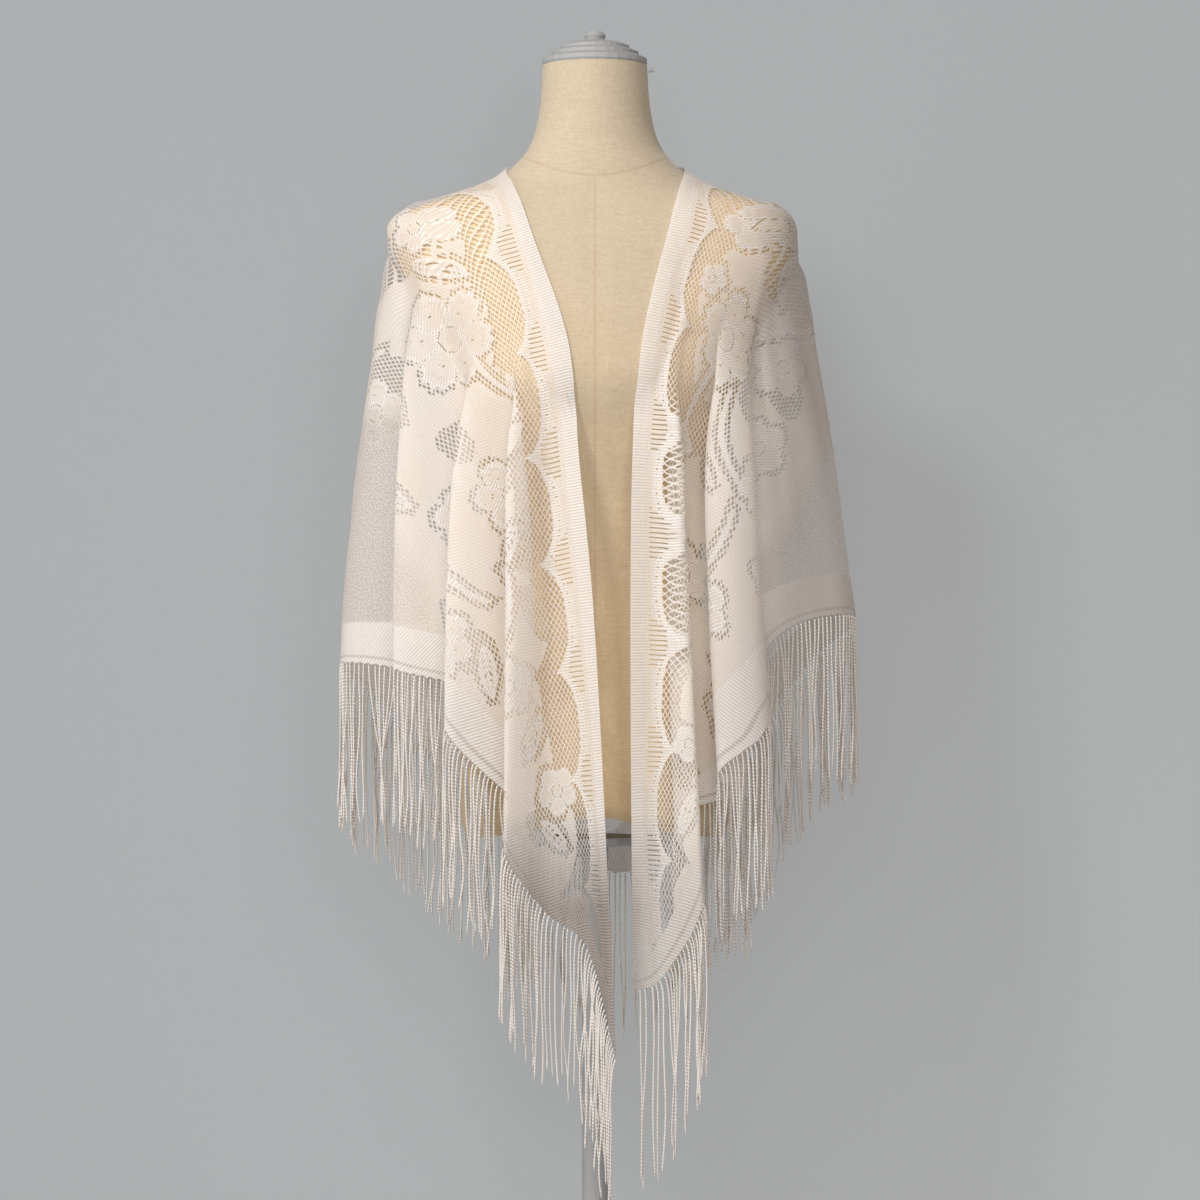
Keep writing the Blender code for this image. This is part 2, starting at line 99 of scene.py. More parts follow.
# Fold lines: name, how far along the neckline, then X and Y at the heights in LEVELS, then the hem's end.
LEVELS = (950.0, 868.0, 768.0, 632.0)
NECK_ARC_LEFT = 148.0
NECK_ARC_RIGHT = 78.0
LEFT_FOLDS = (
    # name, neck, x1, y1, x2, y2, x3, y3, x4, y4, hem x, hem y, hem z
    ("edge", 0, -49, -84, -23, -102, -15, -124, -2, -136, 20, -140, 207),
    ("lap", 3, -62, -84, -36, -106, -28, -121, -20, -131, -6, -135, 311),
    ("dip_1", 7, -76, -84, -52, -110, -44, -116, -42, -122, -46, -127, 345),
    ("ridge_1", 11, -91, -82, -70, -112, -80, -129, -82, -142, -84, -147, 406),
    ("dip_2", 16, -107, -78, -86, -101, -68, -102, -60, -103, -58, -103, 426),
    ("ridge_2", 22, -123, -70, -112, -88, -130, -103, -137, -111, -139, -117, 513),
    ("dip_3", 30, -140, -60, -136, -66, -110, -77, -101, -79, -102, -80, 541),
    ("ridge_3", 39, -158, -46, -177, -56, -184, -70, -188, -76, -188, -80, 568),
    ("dip_4", 49, -176, -24, -184, -30, -166, -43, -151, -46, -149, -46, 563),
    ("side", 60, -201, 4, -213, -4, -222, -9, -233, -13, -236, -14, 573),
    ("flank", 72, -198, 46, -212, 42, -226, 40, -238, 38, -240, 38, 561),
    ("blade", 86, -164, 78, -180, 84, -190, 86, -198, 93, -201, 95, 522),
    ("back_1", 104, -108, 94, -115, 106, -120, 113, -128, 112, -130, 112, 452),
    ("back_2", 125, -42, 99, -44, 109, -44, 113, -46, 124, -48, 128, 396),
    ("point", 148, 28, 99, 28, 109, 28, 118, 28, 117, 28, 118, 362),
)
RIGHT_FOLDS = (
    ("edge", 0, 60, -84, 41, -102, 35, -124, 33, -136, 35, -138, 272),
    ("lap", 2, 76, -84, 57, -106, 56, -121, 58, -130, 62, -134, 284),
    ("ridge_1", 5, 91, -82, 75, -112, 82, -131, 87, -142, 100, -148, 359),
    ("dip_1", 8, 104, -78, 88, -101, 71, -102, 69, -108, 75, -110, 427),
    ("dip_2", 12, 117, -73, 107, -84, 124, -72, 133, -74, 142, -76, 455),
    ("ridge_2", 16, 131, -66, 118, -88, 104, -107, 106, -116, 114, -120, 471),
    ("ridge_3", 21, 147, -56, 140, -74, 145, -100, 153, -106, 161, -109, 515),
    ("dip_3", 27, 161, -42, 153, -52, 144, -54, 150, -50, 157, -49, 574),
    ("fold_4", 33, 176, -22, 175, -38, 182, -43, 189, -46, 189, -48, 609),
    ("side", 40, 194, 6, 205, -2, 222, -4, 243, -6, 245, -6, 619),
    ("flank", 46, 195, 46, 212, 40, 227, 38, 243, 36, 246, 36, 603),
    ("blade", 53, 166, 76, 182, 80, 194, 80, 205, 86, 207, 88, 566),
    ("back_1", 61, 134, 88, 142, 98, 148, 105, 153, 104, 152, 106, 482),
    ("back_2", 69, 86, 95, 90, 107, 92, 110, 95, 122, 93, 126, 407),
    ("point", 78, 28, 99, 28, 109, 28, 118, 28, 117, 28, 118, 362),
)
WALLS = (
    ("front_left", 0, 5),
    ("side_left", 5, 11),
    ("back", 11, 17),
    ("side_right", 17, 22),
    ("front_right", 22, 28),
)
LAST_FOLD = 28
# The cloth stands off the tip of the left shoulder, and falls straight below it: height and how far out.
TIP_Z = (876, 890, 900, 910, 920, 930, 940, 950, 960, 970, 980, 990, 1000, 1012, 1028)
TIP_OUT = (0, -1.0, -1.7, -2.8, -4.4, -4.4, -2.4, 1.0, 6.4, 4.8, 4.8, 6.4, 9.2, 6.5, 0)
RIGHT_OUT = (0, 0, -0.8, -1.2, -2.4, -1.4, 0.4, 3.4, 4.4, 1.4, -1.2, -1.0, -1.0, -1.0, 0)


def hermite_table(at, keys, values):
    """Smooth curve through a table that never overshoots between two rows."""
    keys, values = np.asarray(keys, float), np.asarray(values, float)
    step = np.diff(keys)
    rise = np.diff(values) / step
    slope = np.zeros(len(keys))
    slope[0], slope[-1] = rise[0], rise[-1]
    same = rise[:-1] * rise[1:] > 0
    slope[1:-1][same] = (2 * rise[:-1] * rise[1:])[same] / (rise[:-1] + rise[1:])[same]
    at = np.clip(at, keys[0], keys[-1])
    i = np.clip(np.searchsorted(keys, at) - 1, 0, len(step) - 1)
    t = (at - keys[i]) / step[i]
    return (
        (2 * t**3 - 3 * t**2 + 1) * values[i]
        + (t**3 - 2 * t**2 + t) * step[i] * slope[i]
        + (3 * t**2 - 2 * t**3) * values[i + 1]
        + (t**3 - t**2) * step[i] * slope[i + 1]
    )


SECTION_Z = [row[1] for row in FORM_SECTIONS][::-1]


def form_size(z):
    """Half width, front and back depth, middle and squareness of the form at height z."""
    return [
        hermite_table(z, SECTION_Z, [row[k] for row in FORM_SECTIONS][::-1])
        for k in range(2, 7)
    ]


def form_ratio(p):
    """1 on the form's surface, less inside it, more outside it."""
    wide, front, back, middle, square = form_size(p[..., 2])
    deep = np.where(p[..., 1] < middle, front, back)
    return (
        (np.abs(p[..., 0]) / wide) ** square
        + (np.abs(p[..., 1] - middle) / deep) ** square
    ) ** (1 / square)


def clear_of_form(p, gap):
    """Moves points that are nearer to the form than gap out along its surface's normal."""
    p = p.copy()
    near = np.ones(p.shape[:-1], bool)
    for _ in range(16):
        q = p[near]
        here = form_ratio(q)
        slope = np.stack(
            [form_ratio(q + step) - here for step in np.eye(3) * 0.5], axis=-1
        ) / 0.5
        size = np.linalg.norm(slope, axis=-1, keepdims=True) + 1e-9
        away = (here[..., None] - 1) / size
        p[near] = q + np.where(away < gap, np.minimum(gap - away, 6.0) * slope / size, 0.0) * 0.9
        near[near] = away[..., 0] < gap - 0.02
        if not near.any():
            break
    return p


def neckline(arc, whole, side):
    """A point on the shawl's neckline, arc mm from the front corner, on its way round the nape."""
    turn = math.pi * arc / (NECK_ARC_LEFT + NECK_ARC_RIGHT)
    return np.array(
        [side * 83.0 * math.cos(turn), -8.0 + 76.0 * math.sin(turn), 1042.0 + 10.0 * math.sin(turn)]
    )


def fold_controls():
    """The control points of all fold lines, from the left front edge round the back to the right one."""
    rows = []
    for side, table in ((-1, LEFT_FOLDS), (1, RIGHT_FOLDS[-2::-1])):
        for name, neck, *numbers in table:
            levels = [
                (numbers[2 * k], numbers[2 * k + 1], LEVELS[k]) for k in range(len(LEVELS))
            ]
            rows.append([neckline(neck, 0, side), *map(np.array, levels), np.array(numbers[8:])])
    return np.array(rows, float)


def between(rows, at):
    """Smooth interpolation of rows at fractional row numbers."""
    at = np.clip(np.asarray(at, float), 0, len(rows) - 1)
    i = np.minimum(at.astype(int), len(rows) - 2)
    t = (at - i).reshape(-1, *[1] * (rows.ndim - 1))
    before = rows[np.maximum(i - 1, 0)]
    after = rows[np.minimum(i + 2, len(rows) - 1)]
    p, q = rows[i], rows[i + 1]
    first, span, last = (np.linalg.norm(v, axis=-1, keepdims=True) for v in (p - before, q - p, after - q))

    def tangent(way, one, other):
        """Along way, and long enough to round a tight fold."""
        size = 0.7 * np.minimum(one, other) + 0.3 * np.maximum(one, other)
        return way / (np.linalg.norm(way, axis=-1, keepdims=True) + 1e-6) * size

    m = tangent(q - before, np.where(first > 0, first, span), span)
    n = tangent(after - p, np.where(last > 0, last, span), span)
    return (
        (2 * t**3 - 3 * t**2 + 1) * p
        + (t**3 - 2 * t**2 + t) * m
        + (3 * t**2 - 2 * t**3) * q
        + (t**3 - t**2) * n
    )


def along(points, share):
    """A smooth line through the points, read at the given shares of its length, kept clear of the form."""
    ends = np.concatenate([[2 * points[0] - points[1]], points, [2 * points[-1] - points[-2]]])
    line = []
    for i in range(len(points) - 1):
        a, b, c, d = ends[i : i + 4]
        ab, bc, cd = (np.linalg.norm(v) ** 0.5 + 1e-6 for v in (b - a, c - b, d - c))
        m = bc * ((b - a) / ab - (c - a) / (ab + bc)) + (c - b)
        n = bc * ((d - c) / cd - (d - b) / (bc + cd)) + (c - b)
        t = np.linspace(0, 1, 13)[:, None]
        line.append(
            ((2 * t**3 - 3 * t**2 + 1) * b + (t**3 - 2 * t**2 + t) * m
             + (3 * t**2 - 2 * t**3) * c + (t**3 - t**2) * n)[: None if i == len(points) - 2 else -1]
        )
    line = clear_of_form(np.concatenate(line), BODY_GAP)
    tip = np.clip((-line[:, 0] - 140) / 45, 0, 1) * np.interp(line[:, 2], TIP_Z, TIP_OUT)
    line += tip[:, None] * np.array([-1.0, 0, 0.4])
    line[:, 0] += np.clip((line[:, 0] - 140) / 45, 0, 1) * np.interp(line[:, 2], TIP_Z, RIGHT_OUT)
    run = np.concatenate([[0], np.cumsum(np.linalg.norm(np.diff(line, axis=0), axis=1))])
    return np.stack([np.interp(share * run[-1], run, line[:, k]) for k in range(3)], axis=1)


def drape(columns, shares):
    """The cloth's middle surface: a grid of points, a column for each fold number, a row for each share."""
    controls = between(fold_controls(), columns)
    grid = np.array([along(c, shares) for c in controls])
    # The middles of the facets are kept clear too, by moving their corners out.
    for _ in range(8):
        corners = grid[:-1, :-1], grid[1:, :-1], grid[:-1, 1:], grid[1:, 1:]
        places = (
            (slice(None, -1), slice(None, -1)),
            (slice(1, None), slice(None, -1)),
            (slice(None, -1), slice(1, None)),
            (slice(1, None), slice(1, None)),
        )
        push = np.zeros_like(grid)
        for a, b in ((0, 1), (0, 2), (0, 3), (1, 2), (1, 3), (2, 3)):
            middle = (corners[a] + corners[b]) / 2
            moved = clear_of_form(middle, BODY_GAP) - middle
            for k in (a, b):
                here = push[places[k]]
                more = np.linalg.norm(moved, axis=-1) > np.linalg.norm(here, axis=-1)
                here[more] = moved[more]
        grid = grid + push
    return clear_of_form(grid, BODY_GAP)


def normals(grid):
    """The outward normal at each point of a grid."""
    n = np.cross(np.gradient(grid, axis=1), np.gradient(grid, axis=0))
    return n / (np.linalg.norm(n, axis=-1, keepdims=True) + 1e-12)


# Soft creases: name, fold and share at its top, fold and share at its foot, half width, height
CREASES = (
    ("collar_left", 1.3, 0.12, 2.6, 0.42, 9.0, 1.6),
    ("bust_left", 3.4, 0.16, 4.6, 0.46, 12.0, -2.0),
    ("drop_a", 5.5, 0.30, 5.5, 0.92, 11.0, 1.8),
    ("drop_b", 4.5, 0.48, 4.2, 0.96, 9.0, -1.4),
    ("hang_a", 6.5, 0.22, 6.3, 0.88, 12.0, -2.2),
    ("arm_a", 7.5, 0.18, 7.7, 0.93, 13.0, 2.6),
    ("arm_b", 8.4, 0.30, 8.2, 0.97, 10.0, -2.4),
    ("arm_c", 9.0, 0.12, 9.3, 0.70, 14.0, 2.4),
    ("arm_d", 8.0, 0.52, 9.6, 0.80, 9.0, 1.5),
    ("flank_a", 10.1, 0.28, 10.2, 0.98, 15.0, -2.6),
    ("flank_b", 10.8, 0.34, 10.7, 0.96, 13.0, 2.6),
    ("blade_a", 11.6, 0.40, 11.4, 1.00, 14.0, -2.4),
    ("blade_b", 12.3, 0.30, 12.2, 0.92, 16.0, 2.6),
    ("spine_a", 13.1, 0.42, 13.0, 1.00, 15.0, -2.4),
    ("spine_b", 13.8, 0.34, 13.9, 0.98, 18.0, 2.8),
    ("spine_c", 14.7, 0.46, 14.6, 1.00, 14.0, -2.2),
    ("spine_d", 15.4, 0.36, 15.6, 0.95, 15.0, 2.4),
    ("blade_c", 16.4, 0.32, 16.5, 1.00, 14.0, -2.2),
    ("flank_c", 17.4, 0.36, 17.5, 0.94, 13.0, 2.4),
    ("flank_d", 18.4, 0.26, 18.3, 0.98, 14.0, -2.4),
    ("arm_e", 19.3, 0.22, 18.8, 0.86, 12.0, 2.6),
    ("arm_f", 20.4, 0.34, 19.4, 0.90, 10.0, 2.2),
    ("arm_g", 20.9, 0.30, 20.2, 0.96, 9.0, -2.2),
    ("arm_h", 21.4, 0.44, 20.6, 0.98, 9.0, 1.8),
    ("hang_b", 21.6, 0.20, 21.9, 0.86, 10.0, -1.8),
    ("drop_c", 23.4, 0.34, 23.5, 0.92, 8.0, 1.4),
    ("drop_d", 26.4, 0.40, 26.6, 0.95, 8.0, -1.3),
    ("collar_right", 26.8, 0.14, 25.6, 0.40, 9.0, 1.5),
)


def creased(hung):
    """The drape with its soft creases, which stand out from the cloth or dip into it."""
    out = normals(hung)
    row = np.concatenate(
        [np.zeros((1, hung.shape[1])), np.cumsum(np.linalg.norm(np.diff(hung, axis=0), axis=2), axis=0)]
    )
    fold = np.arange(hung.shape[0]) / FOLD_PARTS
    shares = np.linspace(0, 1, hung.shape[1])
    lift = np.zeros(hung.shape[:2])
    for _, fold_a, share_a, fold_b, share_b, wide, height in CREASES:
        along = np.clip((shares - share_a) / (share_b - share_a), 0, 1)
        where = fold_a + (fold_b - fold_a) * along + 0.12 * np.sin(7 * along + fold_a)
        middle = np.array([np.interp(where[j], fold, row[:, j]) for j in range(len(shares))])
        taper = np.sin(math.pi * np.clip(along * 0.82 + 0.04, 0, 1)) ** 0.8 * (shares >= share_a)
        lift += height * taper * np.exp(-(((row - middle) / wide) ** 2))
    return clear_of_form(hung + out * lift[..., None], BODY_GAP - 2.0)


# ---------------------------------------------------------------- the flat cut and where it hangs
FOLD_PARTS = 6
DOWN = 48


def cut_grid():
    """The draped grid and where each of its points lies on the flat cut, eased until its threads have
    nearly the same length flat and hung."""
    columns = np.linspace(0, LAST_FOLD, LAST_FOLD * FOLD_PARTS + 1)
    shares = np.linspace(0, 1, DOWN + 1)
    hung = drape(columns, shares)
    point = 14 * FOLD_PARTS
    hem = np.concatenate([[0], np.cumsum(np.linalg.norm(np.diff(hung[:, -1], axis=0), axis=1))])
    neck = np.concatenate([[0], np.cumsum(np.linalg.norm(np.diff(hung[:, 0], axis=0), axis=1))])
    edges = [np.linalg.norm(np.diff(hung[k], axis=0), axis=1).sum() for k in (0, -1)]
    whole = edges[0] + neck[-1] + edges[1]
    top = -CUT_LENGTH / 2 + (edges[0] + neck) / whole * CUT_LENGTH
    share = np.where(
        hem <= hem[point], hem / hem[point], 1 + (hem - hem[point]) / (hem[-1] - hem[point])
    )
    low = np.stack([(share - 1) * CUT_LENGTH / 2, (1 - np.abs(share - 1)) * CUT_DEPTH], axis=1)
    high = np.stack([top, np.zeros_like(top)], axis=1)
    flat = high[:, None] + (low - high)[:, None] * shares[None, :, None]
    half, deep = CUT_LENGTH / 2, CUT_DEPTH
    slope = np.array([deep, half]) / math.hypot(deep, half)  # outward of the right hem

    def ease(flat, hung, point, rounds, push):
        """Moves the flat points until their spacing is the hung one, with the edges kept on the cut's."""
        links = []
        for da, db in ((1, 0), (0, 1), (1, 1), (1, -1)):
            a = (slice(0, flat.shape[0] - da), slice(max(0, -db), flat.shape[1] - max(0, db)))
            b = (slice(da, flat.shape[0]), slice(max(0, db), flat.shape[1] - max(0, -db)))
            links.append((a, b, np.linalg.norm(hung[b] - hung[a], axis=-1) * 0.965))
        count = np.zeros(flat.shape[:2])
        for a, b, _ in links:
            count[a] += 1
            count[b] += 1
        for _ in range(rounds):
            move = np.zeros_like(flat)
            for a, b, length in links:
                gap = flat[b] - flat[a]
                size = np.linalg.norm(gap, axis=-1) + 1e-9
                step = gap * ((size - length) / size * 0.5)[..., None]
                move[a] += step
                move[b] -= step
            flat = flat + push * move / count[..., None]
            flat[:, 0, 1] = 0
            flat[0, :, 1] = 0
            flat[-1, :, 1] = 0
            for part, side in ((slice(0, point + 1), -1), (slice(point, None), 1)):
                out = np.array([side * slope[0], slope[1]])
                over = flat[part, -1] @ out - half * slope[0]
                flat[part, -1] -= over[:, None] * out
            flat[0, -1] = (-half, 0)
            flat[-1, -1] = (half, 0)
            flat[point, -1] = (0, deep)
        return flat

    # First every third column and row, then all of them.
    few = ease(flat[::3, ::3], hung[::3, ::3], point // 3, 2500, 1.6)
    u, v = np.arange(flat.shape[0]) / 3, np.arange(flat.shape[1]) / 3
    fine = np.array([[np.interp(v, np.arange(few.shape[1]), few[i, :, k]) for k in (0, 1)] for i in range(few.shape[0])])
    flat = np.stack(
        [
            np.array([np.interp(u, np.arange(few.shape[0]), fine[:, k, j]) for j in range(len(v))]).T
            for k in (0, 1)
        ],
        axis=-1,
    )
    flat = ease(flat, hung, point, 350, 1.5)
    # Where the gathered cloth would lie twice on the cut, it is spread even.
    for _ in range(400):
        across = np.diff(flat, axis=0)
        down = np.diff(flat, axis=1)
        turned = across[:, :-1, 0] * down[:-1, :, 1] - across[:, :-1, 1] * down[:-1, :, 0]
        bad = turned < 0.12 * np.median(turned)
        if not bad.any():
            break
        mark = np.zeros(flat.shape[:2], bool)
        for a in (slice(None, -1), slice(1, None)):
            for b in (slice(None, -1), slice(1, None)):
                mark[a, b] |= bad
        even = flat.copy()
        even[1:-1, 1:-1] = (
            flat[2:, 1:-1] + flat[:-2, 1:-1] + flat[1:-1, 2:] + flat[1:-1, :-2]
        ) / 4
        for edge in (0, -1):
            even[1:-1, edge] = (flat[2:, edge] + flat[:-2, edge]) / 2
            even[edge, 1:-1] = (flat[edge, 2:] + flat[edge, :-2]) / 2
        even[point, -1] = flat[point, -1]
        flat = np.where(mark[..., None], even, flat)
    return hung, flat


def cubic(grid, at_u, at_v):
    """Bicubic reading of a grid at fractional row and column numbers."""

    def weights(t):
        return np.stack(
            [
                (-(t**3) + 2 * t**2 - t) / 2,
                (3 * t**3 - 5 * t**2 + 2) / 2,
                (-3 * t**3 + 4 * t**2 + t) / 2,
                (t**3 - t**2) / 2,
            ]
        )

    nu, nv = grid.shape[:2]
    padded = np.concatenate([2 * grid[:1] - grid[1:2], grid, 2 * grid[-1:] - grid[-2:-1]], axis=0)
    padded = np.concatenate(
        [2 * padded[:, :1] - padded[:, 1:2], padded, 2 * padded[:, -1:] - padded[:, -2:-1]], axis=1
    )
    iu = np.clip(at_u.astype(int), 0, nu - 2)
    iv = np.clip(at_v.astype(int), 0, nv - 2)
    wu, wv = weights(at_u - iu), weights(at_v - iv)
    found = 0
    for a in range(4):
        for b in range(4):
            found = found + (wu[a] * wv[b])[:, None] * padded[iu + a, iv + b]
    return found


def places_of(flat, points):
    """Fractional grid numbers of flat points."""
    nu, nv = flat.shape[:2]
    corners = [Vector((p[0], p[1], 0)) for p in flat.reshape(-1, 2)]
    faces = []
    for i in range(nu - 1):
        for j in range(nv - 1):
            a = i * nv + j
            faces.append((a, a + nv, a + nv + 1))
            faces.append((a, a + nv + 1, a + 1))
    tree = BVHTree.FromPolygons(corners, faces)
    faces = np.array(faces)
    hits = np.empty((len(points), 3))
    for k, (x, y) in enumerate(points.tolist()):
        where, _, index, _ = tree.find_nearest((x, y, 0))
        hits[k] = (where[0], where[1], index)
    index = hits[:, 2].astype(int)
    tri = flat.reshape(-1, 2)[faces[index]]
    a, b, c = tri[:, 0], tri[:, 1], tri[:, 2]
    p = hits[:, :2]

    def area(o, q, r):
        return (q[:, 0] - o[:, 0]) * (r[:, 1] - o[:, 1]) - (q[:, 1] - o[:, 1]) * (r[:, 0] - o[:, 0])

    whole = area(a, b, c)
    whole = np.where(np.abs(whole) < 1e-9, 1e-9, whole)
    wb, wc = area(a, p, c) / whole, area(a, b, p) / whole
    wa = 1 - wb - wc
    numbers = np.stack(np.divmod(faces[index], nv), axis=-1).astype(float)
    return (numbers * np.stack([wa, wb, wc], axis=1)[..., None]).sum(1)


# ---------------------------------------------------------------- the lace's pattern on the flat cut
# Flower lace: kind, s along the long edge, t in from it, radius or length, petals or width, turn in degrees
MOTIFS = (
    # left front
    ("flower", -197.0, 64.0, 23.0, 5, 10),
    ("leaf", -238.0, 74.0, 22.0, 8.0, 40),
    ("flower", -296.0, 108.0, 48.0, 6, 0),
    ("stem", -335.0, 78.0, 46.0, -12.0, 20),
    ("leaf", -378.0, 60.0, 25.0, 8.0, 15),
    ("flower", -455.0, 108.0, 34.0, 6, 20),
    ("leaf", -520.0, 76.0, 24.0, 8.0, -35),
    ("stem", -575.0, 96.0, 48.0, 12.0, -20),
    ("flower", -640.0, 96.0, 25.0, 5, 0),
    ("leaf", -690.0, 78.0, 22.0, 7.5, -30),
    ("flower", -742.0, 62.0, 22.0, 5, 30),
    ("leaf", -780.0, 72.0, 20.0, 7.0, 40),
    ("flower", -850.0, 58.0, 17.0, 5, 0),
    # right front
    ("flower", 231.0, 70.0, 23.0, 5, 0),
    ("flower", 293.0, 56.0, 15.0, 5, 20),
    ("leaf", 262.0, 112.0, 24.0, 8.0, 60),
    ("flower", 334.0, 104.0, 44.0, 6, 15),
    ("stem", 392.0, 84.0, 44.0, 12.0, -25),
    ("flower", 444.0, 58.0, 18.0, 5, 10),
    ("flower", 301.0, 182.0, 28.0, 5, 0),
    ("flower", 366.0, 226.0, 27.0, 5, 25),
    ("leaf", 470.0, 104.0, 26.0, 8.5, 25),
    ("flower", 545.0, 196.0, 23.0, 5, 0),
    ("leaf", 604.0, 146.0, 26.0, 9.0, -50),
    ("flower", 652.0, 156.0, 26.0, 5, 10),
    ("stem", 690.0, 92.0, 44.0, -12.0, 10),
    ("flower", 727.0, 58.0, 17.0, 5, 0),
    ("flower", 560.0, 84.0, 26.0, 6, 0),
    ("leaf", 790.0, 62.0, 21.0, 7.0, -20),
)
# The repeat that fills the rest, over three scallops.
REPEAT = (
    ("flower", 40.0, 112.0, 42.0, 6, 0),
    ("flower", 132.0, 208.0, 24.0, 5, 20),
    ("flower", 192.0, 84.0, 22.0, 5, 0),
    ("leaf", 98.0, 66.0, 22.0, 8.0, 30),
    ("leaf", 240.0, 128.0, 26.0, 9.0, -40),
    ("leaf", 150.0, 146.0, 22.0, 8.0, 70),
    ("stem", 110.0, 165.0, 46.0, 14.0, 40),
    ("stem", 205.0, 180.0, 42.0, -12.0, -20),
    ("flower", 262.0, 222.0, 32.0, 6, 10),
    ("leaf", 8.0, 188.0, 24.0, 8.0, 10),
    ("leaf", 76.0, 244.0, 22.0, 8.0, -20),
    ("flower", 192.0, 250.0, 17.0, 5, 0),
)


def all_motifs():
    """The placed motifs, and the repeat wherever it keeps clear of them, mirrored about the back."""
    made = list(MOTIFS)
    reach = {"flower": 1.0, "leaf": 0.75, "stem": 0.5}
    for k in range(4):
        for kind, s, t, size, more, turn in REPEAT:
            for side in (-1, 1):
                place = side * (s + k * 3 * SCALLOP)
                if all(
                    math.hypot(place - m[1], t - m[2]) > reach[kind] * size + reach[m[0]] * m[3] + 3
                    for m in MOTIFS
                ):
                    made.append((kind, place, t, size, more, side * turn))
    return made


